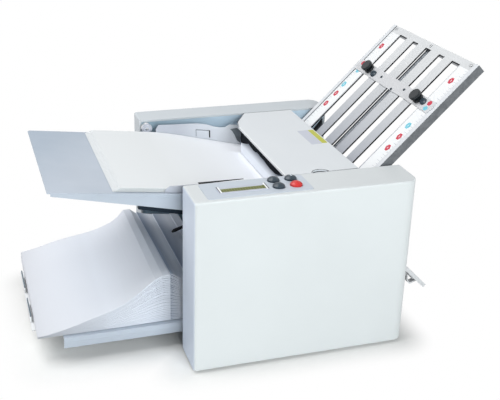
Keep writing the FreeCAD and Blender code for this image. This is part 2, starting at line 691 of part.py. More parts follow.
def right_cover():
    """Sheet across the bay's right end, between the two fold plates."""
    x1 = HOUSING_LENGTH - END_COVER_INSET
    y0, y1 = BAY_0 + SLIP, BAY_1 - SLIP
    lip_x = x1 - END_COVER_LIP
    z0 = ROLLER_Z + HALF - (lip_x - ROLLER_X) - END_COVER_DROP     # follows the lower plate's slope
    z1 = ROLLER_Z + END_COVER_RISE
    face = box(x1 - SHEET_T, x1, y0, y1, z0, z1)
    sides = [box(lip_x, x1, y, y + SHEET_T, z0, z1) for y in (y0, y1 - SHEET_T)]
    return join([face] + sides)


def frames_and_base():
    parts["front_housing"] = front_housing()
    parts["rear_housing"] = rear_housing()
    bay, seat = BAY_WIDTH / 2, PLATE_WIDTH / 2 - REST_LAP
    parts["front_side_frame"] = side_frame(FRONT_IN, COVER_LEFT + LEDGE_FRONT_X,
                                           FRONT_IN, BAY_0 + LEDGE_W, -bay, -seat)
    parts["rear_side_frame"] = side_frame(BAY_1, COVER_REAR_LIP,
                                          BAY_1 - LEDGE_W, REAR_IN, seat, bay)
    parts["shaft_bushes"] = shaft_bushes()
    parts["base_plate"] = base_plate()
    parts["cross_rods"] = cross_rods()
    parts["right_cover"] = right_cover()
    parts["rubber_feet"] = group(
        [rod_z(x, y, -FOOT_H, 0, FOOT_R)
         for y in (FRONT_DEPTH / 2, WIDTH - REAR_DEPTH / 2)
         for x in (FOOT_INSET_LEFT, HOUSING_LENGTH - FOOT_INSET_RIGHT)])
    parts["housing_screws"] = group(
        [Part.makeCylinder(SCREW_R, SCREW_HEAD, V(x, WIDTH, z), V(0, 1, 0))
         for x in (SCREW_INSET, HOUSING_LENGTH / 2, HOUSING_LENGTH - SCREW_INSET)
         for z in (SCREW_LOW_Z, HOUSING_HEIGHT - SCREW_HIGH_DROP)])


# ---- control panel ------------------------------------------------------------------------

def display_bezel(z0):
    bezel = rounded_box(LCD_X0, LCD_X1, LCD_Y0, LCD_Y1, z0, z0 + LCD_T, (LCD_R,) * 4)
    dx, dy = LCD_VIEW
    return bezel.cut(box(LCD_X0 + dx, LCD_X1 - dx, LCD_Y0 + dy, LCD_Y1 - dy, z0 - 1, z0 + 3))


def control_board():
    """Board with push switches, the display module and posts that hang it from the housing."""
    low = HOUSING_HEIGHT - BOARD_DROP
    top, roof = low + BOARD_T, HOUSING_HEIGHT - HOUSING_WALL
    x0, x1 = PANEL_X0 + BOARD_LEFT, PANEL_X1 - BOARD_RIGHT
    y0, y1 = PANEL_Y0 + BOARD_FRONT, PANEL_Y1 - BOARD_MARGIN
    reach, h, lap = HOUSING_HEIGHT - PUSH_DROP, PUSH_HALF, LCD_MODULE_LAP
    pieces = [box(x0, x1, y0, y1, low, top),
              box(LCD_X0, LCD_X1, LCD_Y0 - lap, LCD_Y1 + lap, top, roof)]
    pieces += [box(x - h, x + h, y - h, y + h, top, reach) for x, y in BUTTON_SPOTS]
    pieces += [rod_z(x, y, top, roof, POST_R) for x in (x0 + POST_LEFT, x1 - POST_INSET)
               for y in (y0 + POST_INSET, y1 - POST_INSET)]
    return join(pieces)


def button(x, y):
    """A domed button with a collar that keeps it under the housing's top."""
    z0 = HOUSING_HEIGHT
    rim = z0 + BUTTON_COLLAR
    low = z0 - BUTTON_BARREL
    barrel = rod_z(x, y, low, rim, BUTTON_R)
    flange = rod_z(x, y, low - BUTTON_FLANGE, low, BUTTON_R + BUTTON_FLANGE)
    ball = Part.makeSphere(BUTTON_DOME_R, V(x, y, rim + BUTTON_DOME_H - BUTTON_DOME_R))
    dome = ball.common(rod_z(x, y, rim - 0.1, rim + 2 * BUTTON_DOME_H, BUTTON_R))
    return join([barrel, dome, flange])


def control_panel():
    z0, z1 = HOUSING_HEIGHT, HOUSING_HEIGHT + PANEL_T
    panel = rounded_box(PANEL_X0, PANEL_X1, PANEL_Y0, PANEL_Y1, z0, z1, (PANEL_R,) * 4)
    holes = [rod_z(x, y, z0 - 1, z1 + 1, BUTTON_HOLE_R) for x, y in BUTTON_SPOTS]
    parts["control_panel"] = panel.cut(holes + [window_cut(z0 - 1, z1 + 1)])
    parts["display_bezel"] = display_bezel(z1)
    parts["display_window"] = window_cut(z0 - WINDOW_T, z1)
    parts["control_board"] = control_board()
    names = ("button_front_left", "button_stop", "button_rear_left", "button_rear_right")
    for name, (x, y) in zip(names, BUTTON_SPOTS):
        parts[name] = button(x, y)


# ---- electrics and drive ------------------------------------------------------------------

def power_inlet():
    plate = rounded_box(-INLET_W / 2, INLET_W / 2, -INLET_H / 2, INLET_H / 2, 0, INLET_PLATE_T,
                        (INLET_PLATE_R,) * 4)
    x1, y1 = WELL_HALF
    well = box(-x1, x1, -y1, y1, -WELL_LEN, 0)
    x1, y1, floor = x1 - WELL_WALL, y1 - WELL_WALL, WELL_FLOOR - WELL_LEN
    body = join([plate, well]).cut(box(-x1, x1, -y1, y1, floor, INLET_PLATE_T + 1))
    dx, dy = PIN_HALF
    pins = [box(x - dx, x + dx, -dy, dy, floor, floor + PIN_LEN) for x in (-PIN_PITCH, 0.0, PIN_PITCH)]
    body = join([body] + pins)
    body.rotate(V(0, 0, 0), V(1, 0, 0), -90)
    body.translate(V(INLET_X, WIDTH, INLET_Z))
    return body


def switch_body():
    """Socket of the rocker switch: a frame outside the housing and a barrel in it."""
    half_w, half_h, lip, wall = SWITCH_W / 2, SWITCH_H / 2, SWITCH_LIP, SWITCH_SIDE
    frame = box(SWITCH_X - half_w - lip, SWITCH_X + half_w + lip, WIDTH, WIDTH + SWITCH_FRAME_T,
                INLET_Z - half_h - lip, INLET_Z + half_h + lip)
    barrel = box(SWITCH_X - half_w, SWITCH_X + half_w, WIDTH - SWITCH_DEPTH, WIDTH,
                 INLET_Z - half_h, INLET_Z + half_h)
    pocket = box(SWITCH_X - half_w + wall, SWITCH_X + half_w - wall, WIDTH - SWITCH_POCKET,
                 WIDTH + SWITCH_FRAME_T + 1,
                 INLET_Z - half_h + wall, INLET_Z + half_h - wall)
    return join([frame, barrel]).cut(pocket)


def switch_rocker():
    """Rocker key: a shallow V seen from above, with a round hub on its pivot."""
    half_w, tip = SWITCH_W / 2 - ROCKER_INSET, ROCKER_TIP
    outline = [(-half_w, -ROCKER_BACK), (half_w, -ROCKER_BACK), (half_w, tip + ROCKER_RISE),
               (0.0, tip), (-half_w, tip)]
    half_h = SWITCH_H / 2 - SWITCH_SIDE - FIT
    z0, z1 = INLET_Z - half_h, INLET_Z + half_h
    key = plan_z([(SWITCH_X + a, WIDTH + b) for a, b in outline], z0, z1)
    return join([key, rod_z(SWITCH_X, PIVOT_Y, z0, z1, SWITCH_PIVOT_R)])


def power_supply():
    """Board on the rear side frame with a transformer, a coil block and a capacitor."""
    y0, y1 = REAR_IN, REAR_IN + BOARD_T
    x1 = EXIT_X - BUSH_R - SUPPLY_TO_BUSH
    pieces = [box(SUPPLY_X0, x1, y0, y1, *SUPPLY_Z),
              rod_y(x1 - CAPACITOR_R - SLIP, CAPACITOR_Z, y1, y1 + CAPACITOR_LEN, CAPACITOR_R)]
    for left, length, z0, height, depth in SUPPLY_BLOCKS:
        x0 = SUPPLY_X0 + left
        pieces.append(box(x0, x0 + length, y1, y1 + depth, z0, z0 + height))
    return join(pieces)


def electrics():
    parts["power_entry"] = group([power_inlet(), switch_body()])
    parts["switch_rocker"] = switch_rocker()
    parts["power_supply"] = power_supply()
    can_y = REAR_IN + MOTOR_LEN
    neck_y = can_y + MOTOR_NECK
    parts["drive_motor"] = join([rod_y(MOTOR_X, MOTOR_Z, REAR_IN, can_y, MOTOR_R),
                                 rod_y(MOTOR_X, MOTOR_Z, can_y, neck_y, MOTOR_NECK_R)])
    end = DRIVE_Y + BELT_W
    parts["motor_pulley"] = join([rod_y(MOTOR_X, MOTOR_Z, DRIVE_Y, end, MOTOR_PULLEY_R),
                                  rod_y(MOTOR_X, MOTOR_Z, neck_y + FIT, end + 1.0, MOTOR_SPINDLE_R)])
    drive = belt_y((MOTOR_X, MOTOR_Z), MOTOR_PULLEY_R, ROLLERS[1], DRIVE_PULLEY_R, DRIVE_Y, end)
    feed = belt_y((FEED_X, FEED_Z), FEED_PULLEY_R, ROLLERS[0], FEED_PULLEY_R,
                  FEED_BELT_Y, FEED_BELT_Y + BELT_W)
    parts["drive_belts"] = group([drive, feed])


# ---- paper feed ---------------------------------------------------------------------------

def feed_table():
    sheet = strip_y([(TABLE_LEFT, TABLE_LEFT_Z), (TABLE_BEND_X, TABLE_BEND_Z)], SHEET_T,
                    TABLE_0, TABLE_1)
    x0 = TABLE_LEFT + TABLE_TRIM
    flange = [(x0, table_z(x0)), (TABLE_BEND_X, TABLE_BEND_Z),
              (TABLE_BEND_X, TABLE_BEND_Z - TABLE_FLANGE_ROOT), (x0, table_z(x0) - TABLE_FLANGE_TIP)]
    sides = [profile_y(flange, y, y + SHEET_T) for y in (TABLE_0, TABLE_1 - SHEET_T)]
    corner = plan_z([(TABLE_LEFT - 1, TABLE_1 + 1), (x0, TABLE_1 + 1),
                     (TABLE_LEFT - 1, TABLE_1 - TABLE_TRIM)], TABLE_LEFT_Z - 9, TABLE_LEFT_Z + 9)
    return join([sheet] + sides).cut(corner)


def table_support_arms():
    """Arms inside the table's flanges, each hung from its side frame by a pin."""
    x0, x1 = ARM_X0, TABLE_BEND_X - ARM_INSET
    outline = [(x0, table_z(x0) - ARM_DEPTH_LEFT), (x1, table_z(x1) - ARM_DEPTH_RIGHT),
               (x1, table_z(x1) - SHEET_T), (x0, table_z(x0) - SHEET_T)]
    pin_x = TABLE_BEND_X - ARM_PIN_X
    pin_z = table_z(pin_x) - ARM_PIN_DROP
    pieces = []
    for y, wall0, wall1 in ((TABLE_0 + SHEET_T, BAY_0, TABLE_0),
                            (TABLE_1 - SHEET_T - ARM_T, TABLE_1, BAY_1)):
        pieces.append(profile_y(outline, y, y + ARM_T))
        pieces.append(rod_y(pin_x, pin_z, wall0, wall1, ARM_PIN_R))
    return group(pieces)


def feed_ramp():
    """Sloping sheet after the table, on a cross bar and an apron between the side frames."""
    y0, y1 = TABLE_0 + RAMP_INSET, TABLE_1 - RAMP_INSET
    x0 = TABLE_BEND_X + SLIP
    sheet = strip_y([(x0, table_z(x0)), (RAMP_END_X, RAMP_END_Z)], SHEET_T, y0, y1)
    x1 = CROSS_X + CROSS_W
    cross = box(CROSS_X, x1, BAY_0, BAY_1, table_z(x1) - CROSS_DEPTH, table_z(x1) - FIT)
    low, high = (TABLE_BEND_Z - d for d in APRON_DROP)
    apron = box(x0, x0 + APRON_T, BAY_0, BAY_1, low, high)
    neck = box(x0, x0 + NECK_T, y0, y1, high - NECK_LAP, table_z(x0 + NECK_T + SHEET_T))
    return join([sheet, cross, apron, neck])


def guide(crest, right_end, y0, y1, boss_y0):
    """An upright side guide that slides on the cross rod, standing just clear of the table.
    crest is its upper edge from left to right, right_end the outline below it at the feed tyres."""
    over = FIT + SLIP
    step = TABLE_BEND_X + GUIDE_STEP
    low, left = GUIDE_ROD_Z - GUIDE_FOOT_R, crest[0][0]
    cut_x, cut_z = GUIDE_FOOT_CUT
    outline = [(left, table_z(left) + over), (step, TABLE_BEND_Z + over), (step, GUIDE_ROD_Z + cut_z),
               (step + cut_x, low)] + right_end + list(reversed(crest))
    half = GUIDE_BOSS_LEN / 2
    boss = box(GUIDE_ROD_X - half, GUIDE_ROD_X + half, boss_y0, boss_y0 + GUIDE_BOSS_T,
               low + GUIDE_BOSS_LIFT, GUIDE_ROD_Z + GUIDE_FOOT_R)
    hole = rod_y(GUIDE_ROD_X, GUIDE_ROD_Z, BAY_0, BAY_1, GUIDE_ROD_R + RUN)
    return join([profile_y(outline, y0, y1), boss]).cut(hole)


def paper_guides():
    face, low = PAPER_0 - GUIDE_PAPER_GAP, GUIDE_ROD_Z - GUIDE_FOOT_R
    end = CROSS_X - GUIDE_TO_CROSS
    crest = [(x, GUIDE_TOP - drop) for x, drop in FRONT_GUIDE_START]
    crest += [(end - back, GUIDE_TOP - drop) for back, drop in FRONT_GUIDE_END]
    cut_x, cut_z = GUIDE_END_CUT
    parts["front_guide"] = guide(crest, [(end - cut_x, low), (end, low + cut_z)],
                                 face - GUIDE_T, face, face - GUIDE_BOSS_T)
    face = PAPER_1 + GUIDE_PAPER_GAP
    crest = [(x, HOUSING_HEIGHT - drop) for x, drop in REAR_GUIDE_CREST]
    foot, end_drop = REAR_GUIDE_FOOT
    rear = guide(crest, [(CROSS_X, low - foot), (crest[-1][0], RAMP_END_Z - end_drop)],
                 face, face + GUIDE_T, face)
    x1 = CROSS_X + CROSS_W
    slot = box(CROSS_X - GUIDE_TO_CROSS, x1 + GUIDE_TO_CROSS, face - 1, face + GUIDE_T + 1,
               table_z(x1) - CROSS_DEPTH - 1, table_z(x1) + 1)
    parts["rear_guide"] = rear.cut(slot)


def guide_knob():
    x, z = GUIDE_KNOB_X, GUIDE_KNOB_Z
    rim0, rim1 = (BAY_1 - d for d in KNOB_RIM)
    return join([rod_y(x, z, BAY_1 - KNOB_LEN, BAY_1 - FIT, GUIDE_KNOB_R),
                 rod_y(x, z, rim0, rim1, GUIDE_KNOB_RIM_R),
                 rod_y(x, z, BAY_1 - KNOB_STUD_IN, REAR_IN + KNOB_STUD_OUT, KNOB_STUD_R)])


def paper_feed():
    parts["feed_table"] = feed_table()
    parts["table_support_arms"] = table_support_arms()
    parts["feed_ramp"] = feed_ramp()

    (ax, az), (bx, bz), (cx, cz) = FEED_CHUTE_START, FEED_CHUTE_KNEE, FEED_CHUTE_NOSE
    chute = [(RAMP_END_X - ax, RAMP_END_Z - az), (FEED_X + bx, RAMP_END_Z - bz),
             (ROLLER_X - ROLLER_R - cx, ROLLER_Z + cz)]
    pad0, pad1 = FEED_X - PAD_LEN / 2, FEED_X + PAD_LEN / 2
    half = PAD_W / 2
    pad_z = PAD_TOP - PAD_T
    parts["feed_chute"] = join([strip_y(chute, SHEET_T, BAY_0 + CHUTE_SIDE, BAY_1 - CHUTE_SIDE),
                                box(pad0, pad1, MID_Y - half - PAD_SEAT, MID_Y + half + PAD_SEAT,
                                    RAMP_END_Z - bz - SEAT_LAP, pad_z)])
    parts["separator_pad"] = box(pad0, pad1, MID_Y - half, MID_Y + half, pad_z, PAD_TOP)
    paper_guides()
    parts["guide_knob"] = guide_knob()

    parts["feed_tyres"] = group(
        [ring_y(FEED_X, FEED_Z, y - FEED_W / 2, y + FEED_W / 2, FEED_R, SHAFT_R + PRESS)
         for y in (MID_Y - FEED_PITCH_Y, MID_Y, MID_Y + FEED_PITCH_Y)])
    end = FEED_BELT_Y + BELT_W
    parts["feed_shaft"] = join([rod_y(FEED_X, FEED_Z, FRONT_IN - SHAFT_STUB, end + 1.0, SHAFT_R),
                                rod_y(FEED_X, FEED_Z, FEED_BELT_Y, end, FEED_PULLEY_R)])
    end = pad0 - FIT                          # the sheets wait before the separator pad
    bottom = [(x, table_z(x)) for x in (STACK_LEFT, TABLE_BEND_X, end)]
    top = [(end, table_z(end) + STACK_END_T)]
    top += [(x, table_z(x) + STACK_T) for x in (end - STACK_NOSE, TABLE_BEND_X, STACK_LEFT)]
    parts["paper_stack"] = profile_y(bottom + top, PAPER_0, PAPER_1)


# ---- fold rollers and exit ----------------------------------------------------------------

def roller_shaft(i, x, z):
    """Shaft with its gear, and the belt pulley of the rollers that have one."""
    phase = 0.0 if i == 2 else math.pi / GEAR_TEETH
    end = GEAR_Y + GEAR_W + 1.0
    pieces = [gear_y(x, z, GEAR_Y, GEAR_Y + GEAR_W, GEAR_TEETH, CENTRE_D / 2, SHAFT_R, phase)]
    pulleys = {1: (FEED_BELT_Y, FEED_PULLEY_R), 2: (DRIVE_Y, DRIVE_PULLEY_R)}
    if i in pulleys:
        y, r = pulleys[i]
        pieces.append(ring_y(x, z, y, y + BELT_W, r, SHAFT_R))
        end = y + BELT_W + 1.0
    return group([rod_y(x, z, FRONT_IN - SHAFT_STUB, end, SHAFT_R)] + pieces)


def rollers_and_exit():
    y0, y1 = BAY_0 + ROLLER_END_GAP, BAY_1 - ROLLER_END_GAP
    for i, (x, z) in enumerate(ROLLERS, start=1):
        parts["fold_roller_%d" % i] = ring_y(x, z, y0, y1, ROLLER_R, SHAFT_R + PRESS)
        parts["roller_shaft_%d" % i] = roller_shaft(i, x, z)
    low = TRAY_TOP + EXIT_RISE
    under, end = ROLLER_Z - HALF - ROLLER_R, EXIT_X - CHUTE_LAP
    line = [(ROLLER_X + HALF / 3, under - CHUTE_TO_ROLLER), (ROLLER_X - CHUTE_BEND[0], under - CHUTE_BEND[1]),
            (end + CHUTE_LEVEL, low + CHUTE_FALL * (1 - CHUTE_LAP / CHUTE_LEVEL)),
            (end, low - CHUTE_FALL * CHUTE_LAP / CHUTE_LEVEL)]
    parts["exit_chute"] = strip_y(line, SHEET_T, BAY_0 + CHUTE_SIDE, BAY_1 - CHUTE_SIDE)
    parts["exit_wheels"] = group(
        [ring_y(EXIT_X, EXIT_Z, y - EXIT_W / 2, y + EXIT_W / 2, EXIT_R, SHAFT_R + PRESS)
         for y in (MID_Y - EXIT_PITCH_Y, MID_Y, MID_Y + EXIT_PITCH_Y)])
    parts["exit_shaft"] = rod_y(EXIT_X, EXIT_Z, FRONT_IN - SHAFT_STUB, REAR_IN + SHAFT_STUB, SHAFT_R)


# ---- top cover ----------------------------------------------------------------------------

def top_cover():
    y0, y1 = BAY_0 + COVER_GAP, BAY_1 - COVER_GAP
    x0, x1 = COVER_LEFT, COVER_RIGHT
    outline = [(x0, y0), (x1, y0), (x1, y1)] + [(x0 + dx, y1 - dy) for dx, dy in COVER_CORNER]
    z1 = HOUSING_HEIGHT
    under = z1 - COVER_T
    t = COVER_LIP_T
    pieces = [plan_z(outline, under, z1),
              box(x0 + COVER_LIP_X, x1, y0, y0 + t, LIP_Z, under),
              box(COVER_REAR_LIP, x1, y1 - t, y1, LIP_Z, under),
              box(x1 - t, x1, y0, y1, LIP_Z, under)]
    notch = rod_z((x0 + x1) / 2 + NOTCH_SHIFT[0], y0 + NOTCH_SHIFT[1], LIP_Z - 1, z1 + 1, NOTCH_R)
    parts["top_cover"] = join(pieces).cut(notch)


# ---- upper fold plate ---------------------------------------------------------------------

def slot_cuts(n0, n1, low_margin, extra):
    """Cutters for the plate's long slots, each widened by extra on both sides."""
    return [box(-PLATE_LEN + low_margin, -SLOT_TOP_MARGIN, y - w / 2 - extra, y + w / 2 + extra,
                n0, n1) for y, w in SLOT_SPOTS]


def stop_knob(height, head_r, stud_len):
    """Spool-shaped clamp knob standing on z = 0, with its stud below."""
    r = head_r
    spool = [(0, 0), (r - 1, 0), (r - 1, 3.0), (r * 0.5, 4.5), (r * 0.5, height - 5.5),
             (r, height - 4.0), (r, height - 0.8), (r - 0.8, height), (0, height)]
    wire = Part.makePolygon([V(a, 0, b) for a, b in spool] + [V(0, 0, 0)])
    knob = Part.Face(wire).revolve(V(0, 0, 0), V(0, 0, 1), 360)
    return join([knob, Part.makeCylinder(STUD_R, stud_len + 0.5, V(0, 0, -stud_len), V(0, 0, 1))])


def plate_rail(half):
    """Side rail: an upright wall with a top lip, a lower lip and a spacer between the sheets."""
    x0 = -PLATE_LEN + RAIL_START
    return join([box(x0, 0, half - RAIL_T, half, -RAIL_DEPTH, SHEET_T),
                 box(x0, 0, half - RAIL_W, half, 0, SHEET_T),
                 box(x0, 0, half - SPACER_W, half - RAIL_T, PLATE_BACK_N, -SHEET_T),
                 box(x0, 0, half - SPACER_W, half, -RAIL_DEPTH, -RAIL_DEPTH + SHEET_T)])


def plate_rod(half):
    """Rod under the plate, in two blocks between the rails."""
    rod_n = PLATE_BACK_N - SHEET_T - ROD_R
    x0, x1 = -PLATE_LEN + RAIL_START, -ROD_BLOCK_OUT
    start = x0 + ROD_BLOCK / 2
    rod = Part.makeCylinder(ROD_R, x1 + ROD_BLOCK / 2 - x0, V(start, ROD_Y, rod_n), V(1, 0, 0))
    edge = half - SPACER_W - SLIP
    blocks = [box(x, x + ROD_BLOCK, -edge, edge, rod_n - ROD_BLOCK_DEPTH, rod_n + ROD_R)
              for x in (x0, x1)]
    return join([rod] + blocks)


def upper_stop(half):
    """Stop bar on the plate's face, with pointers at its ends and fingers between the sheets."""
    bar_half = half - RAIL_W - 2 * FIT
    lift = SHEET_T + FIT
    mid = -STOP_S
    pieces = [box(mid - STOP_W / 2, mid + STOP_W / 2, -bar_half, bar_half, FIT, FIT + STOP_T),
              box(mid - STOP_FINGER[0], mid - STOP_FINGER[1], STOP_FINGER_INSET - half,
                  half - STOP_FINGER_INSET, PLATE_BACK_N + FIT, -SHEET_T - FIT)]
    w, top = POINTER_HALF, lift + POINTER_T
    for s in (-1, 1):
        y = s * bar_half
        tip = y + POINTER_OUT * s
        low, high = sorted((y - w * s, tip))
        pieces.append(box(mid - w, mid + w, low, high, lift, top))
        pieces.append(plan_z([(mid - w, tip), (mid + w, tip), (mid, tip + POINTER * s)],
                             lift + SLIP, top))
    for y in (-SLOT_PITCH, 0.0, SLOT_PITCH):
        pieces.append(box(mid - STOP_LINK[0], mid - STOP_LINK[1], y - STOP_LINK_HALF,
                          y + STOP_LINK_HALF, -SHEET_T - FIT - LINK_LAP, FIT + LINK_LAP))
    studs = [rod_z(mid + STOP_KNOB_X, y, -8, 8, STUD_R + RUN) for y in KNOB_YS]
    return join(pieces).cut(studs)


def upper_plate():
    half = PLATE_WIDTH / 2
    inner = half - RAIL_T - SLIP
    face = box(-PLATE_LEN, 0, -inner, inner, -SHEET_T, 0)
    parts["upper_plate_top_sheet"] = on_upper(face.cut(slot_cuts(-3, 3, SLOT_LOW_MARGIN, 0.0)))
    back = box(-PLATE_LEN, -BACK_OUT, -inner, inner, PLATE_BACK_N - SHEET_T, PLATE_BACK_N)
    parts["upper_plate_bottom_sheet"] = on_upper(
        back.cut(slot_cuts(PLATE_BACK_N - 3, PLATE_BACK_N + 3, BACK_LOW_MARGIN, BACK_SLOT_EXTRA)))
    rail = plate_rail(half)
    mirrored = rail.mirror(V(0, 0, 0), V(0, 1, 0))
    parts["upper_plate_rails"] = group([on_upper(mirrored), on_upper(rail)])
    parts["upper_plate_rod"] = on_upper(plate_rod(half))
    parts["upper_stop_bar"] = on_upper(upper_stop(half))
    for name, y in zip(("upper_knob_front", "upper_knob_rear"), KNOB_YS):
        knob = stop_knob(UPPER_KNOB_H, UPPER_KNOB_R, UPPER_STUD)
        knob.translate(V(-STOP_S + STOP_KNOB_X, y, STOP_T + 2 * FIT))
        parts[name] = on_upper(knob)


# ---- lower fold plate ---------------------------------------------------------------------

def lower_hook(v, y, z0):
    """Spring leg under the lower stop."""
    return prism([V(v + a, y, z0 - b) for a, b in HOOK_OUTER + HOOK_INNER], V(0, HOOK_W, 0))


def lower_plate():
    half, gap = PLATE_WIDTH / 2, PLATE_PASSAGE / 2
    top = box(MOUTH, LOWER_END, -half, half, gap, FACE_N)
    low = box(MOUTH, LOWER_END, -half, half, -FACE_N, -gap)
    rim, (start, stop) = LOWER_RIM, LOWER_SLOT_MARGIN
    sides = [box(MOUTH + LOWER_RIM_START, LOWER_END, y, y + rim, -FACE_N, FACE_N)
             for y in (-half, half - rim)]
    end = box(LOWER_END - rim, LOWER_END, -half, half, -FACE_N, FACE_N)
    cuts = [box(MOUTH + start, LOWER_END - stop, y - LOWER_SLOT_W / 2, y + LOWER_SLOT_W / 2,
                -FACE_N - 1, FACE_N + 1) for y, w in SLOT_SPOTS]
    parts["lower_fold_plate"] = on_lower(join([top, low, end] + sides).cut(cuts))

    v, z0 = LOWER_STOP_V, -FACE_N - FIT
    a, b, c = LOWER_STOP_HALF, LOWER_FINGER_HALF, LOWER_LINK_HALF
    bar, finger = half - LOWER_STOP_INSET, half - LOWER_FINGER_INSET
    pieces = [box(v - a, v + a, -bar, bar, z0 - STOP_T, z0),
              box(v - b, v + b, -finger, finger, -gap + FIT, gap - FIT)]
    pieces += [box(v - c, v + c, y - STOP_LINK_HALF, y + STOP_LINK_HALF, z0 - 1, -gap + FIT + LINK_LAP)
               for y in (-SLOT_PITCH, SLOT_PITCH)]
    pieces += [lower_hook(v, y, z0) for y in (-bar, bar - HOOK_W)]
    parts["lower_stop"] = on_lower(join(pieces).cut(rod_z(v, 0, -20, 8, STUD_R + RUN)))
    knob = stop_knob(LOWER_KNOB_H, LOWER_KNOB_R, LOWER_STUD)
    knob.rotate(V(0, 0, 0), V(1, 0, 0), 180)
    knob.translate(V(v, 0, z0 - STOP_T - FIT))
    parts["lower_knob"] = on_lower(knob)


# ---- outfeed tray -------------------------------------------------------------------------

def outfeed_tray():
    z, t = TRAY_TOP, SHEET_T
    pieces = [box(TRAY_LEFT, TRAY_RIGHT, TABLE_0, TABLE_1, z - t, z)]
    for y, s in ((TABLE_0, 1), (TABLE_1, -1)):
        knee, foot = z - TRAY_BEND, z - TRAY_FLANGE
        lean = TRAY_LEAN * s
        outline = [(y, z), (y, knee), (y + lean, foot), (y + lean + t * s, foot),
                   (y + t * s, knee), (y + t * s, z)]
        pieces.append(profile_x(outline, TRAY_LEFT, TRAY_RIGHT))
    return join(pieces)


def end_stop():
    """Slide under the tray with upright tabs at the pile's end."""
    top = TRAY_TOP - SHEET_T - FIT - SLIP
    low, x0 = top - TAB_T, PILE_LEFT - TAB_TO_PILE
    half = PAPER_WIDTH / 2 - SLIDE_INSET
    plate = box(x0, TRAY_LEFT + SLIDE_LAP, MID_Y - half, MID_Y + half, low, top)
    tabs = [box(x0, x0 + TAB_T, y - TAB_W / 2, y + TAB_W / 2, low, TRAY_TOP + TAB_RISE)
            for y in (MID_Y - TAB_PITCH_Y, MID_Y + TAB_PITCH_Y)]
    return join([plate] + tabs)


def outfeed():
    parts["outfeed_tray"] = outfeed_tray()
    parts["end_stop"] = end_stop()
    outline = [(PILE_LEFT, TRAY_TOP), (PILE_RIGHT, TRAY_TOP)]
    outline += [(PILE_RIGHT - d, TRAY_TOP + h) for d, h in PILE_PROFILE]
    outline.append((PILE_LEFT, TRAY_TOP + PILE_LEFT_H))
    parts["folded_sheets"] = profile_y(outline, PAPER_0, PAPER_1)


frames_and_base()
control_panel()
electrics()
paper_feed()
rollers_and_exit()
top_cover()
upper_plate()
lower_plate()
outfeed()

extent = FreeCAD.BoundBox()
for shape in parts.values():
    extent.add(shape.optimalBoundingBox(False, False))
shift = V(-extent.Center.x, -extent.Center.y, -extent.ZMin)
os.makedirs("parts", exist_ok=True)
for name, shape in parts.items():
    shape.translate(shift)
    shape.exportStep("parts/%s.step" % name)
    print("%-26s %d solid(s) %10.1f mm3" % (name, len(shape.Solids), shape.Volume))
print(len(parts), "nodes, moved by", [round(c, 4) for c in shift])
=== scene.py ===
# %% [markdown]
# # A desktop paper folding machine
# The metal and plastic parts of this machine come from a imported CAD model. This lesson loads them as
# they are, gives each one the finish of the real material, and then adds what a CAD model leaves out:
# loose sheets of paper, printed strips, labels, trims and screw heads. Everything is in metres, and
# each new piece is told which moving body it rides on.

import json
import math
import random

import bmesh
import bpy
from mathutils import Matrix, Vector


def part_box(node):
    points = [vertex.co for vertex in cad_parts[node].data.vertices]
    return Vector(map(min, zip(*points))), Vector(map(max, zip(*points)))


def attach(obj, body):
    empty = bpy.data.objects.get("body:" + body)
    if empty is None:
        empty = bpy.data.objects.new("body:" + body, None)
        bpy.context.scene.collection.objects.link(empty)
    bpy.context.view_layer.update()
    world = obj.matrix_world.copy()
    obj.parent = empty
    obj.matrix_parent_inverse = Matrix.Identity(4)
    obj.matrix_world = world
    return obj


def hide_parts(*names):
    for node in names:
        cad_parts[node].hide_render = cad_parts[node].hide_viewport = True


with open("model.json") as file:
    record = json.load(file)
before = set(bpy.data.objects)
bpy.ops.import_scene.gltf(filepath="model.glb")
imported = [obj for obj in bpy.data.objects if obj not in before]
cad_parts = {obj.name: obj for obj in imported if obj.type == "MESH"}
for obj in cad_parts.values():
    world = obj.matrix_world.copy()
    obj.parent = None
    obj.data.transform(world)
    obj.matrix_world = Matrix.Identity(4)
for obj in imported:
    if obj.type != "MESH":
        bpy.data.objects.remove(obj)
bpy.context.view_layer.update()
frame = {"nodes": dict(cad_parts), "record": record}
nodes = frame["nodes"]

# %% [markdown]
# The drawing of the machine starts at the lower left corner of the operator's side housing. A helper
# that takes millimetres from that corner keeps every later number readable, and it still follows the
# model if the whole machine is moved.

# %% A place on the machine, in millimetres
MM = 0.001
right, back, up = Vector((1, 0, 0)), Vector((0, 1, 0)), Vector((0, 0, 1))
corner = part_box("front_housing")[0]


def at(x, y, z):
    """A point in metres from millimetres: right along the housing, back across the sheet, up."""
    return Vector((corner.x + x * MM, corner.y + y * MM, corner.z + z * MM))


housing_top = 228.0
mid_y = 181.5
print("corner", [round(c, 4) for c in corner], "middle of the sheet", [round(c, 4) for c in at(0, mid_y, 0)])

# %% [markdown]
# ## The camera
# The view is a little from the left and from above, with a long lens. The camera's own three axes are
# worked out from its heading, its tilt and a slight roll, and written straight into its matrix, which
# is easier to get right than three turns in a row.

# %% Place the camera
heading, tilt, roll = math.radians(18.15), math.radians(22.92), math.radians(1.49)
camera_spot = at(-250.3, -924.2, 651.3)
forward = Vector((math.sin(heading) * math.cos(tilt), math.cos(heading) * math.cos(tilt), -math.sin(tilt)))
level = Vector((math.cos(heading), -math.sin(heading), 0))
upright = level.cross(forward)
side = level * math.cos(roll) + upright * math.sin(roll)
top = upright * math.cos(roll) - level * math.sin(roll)

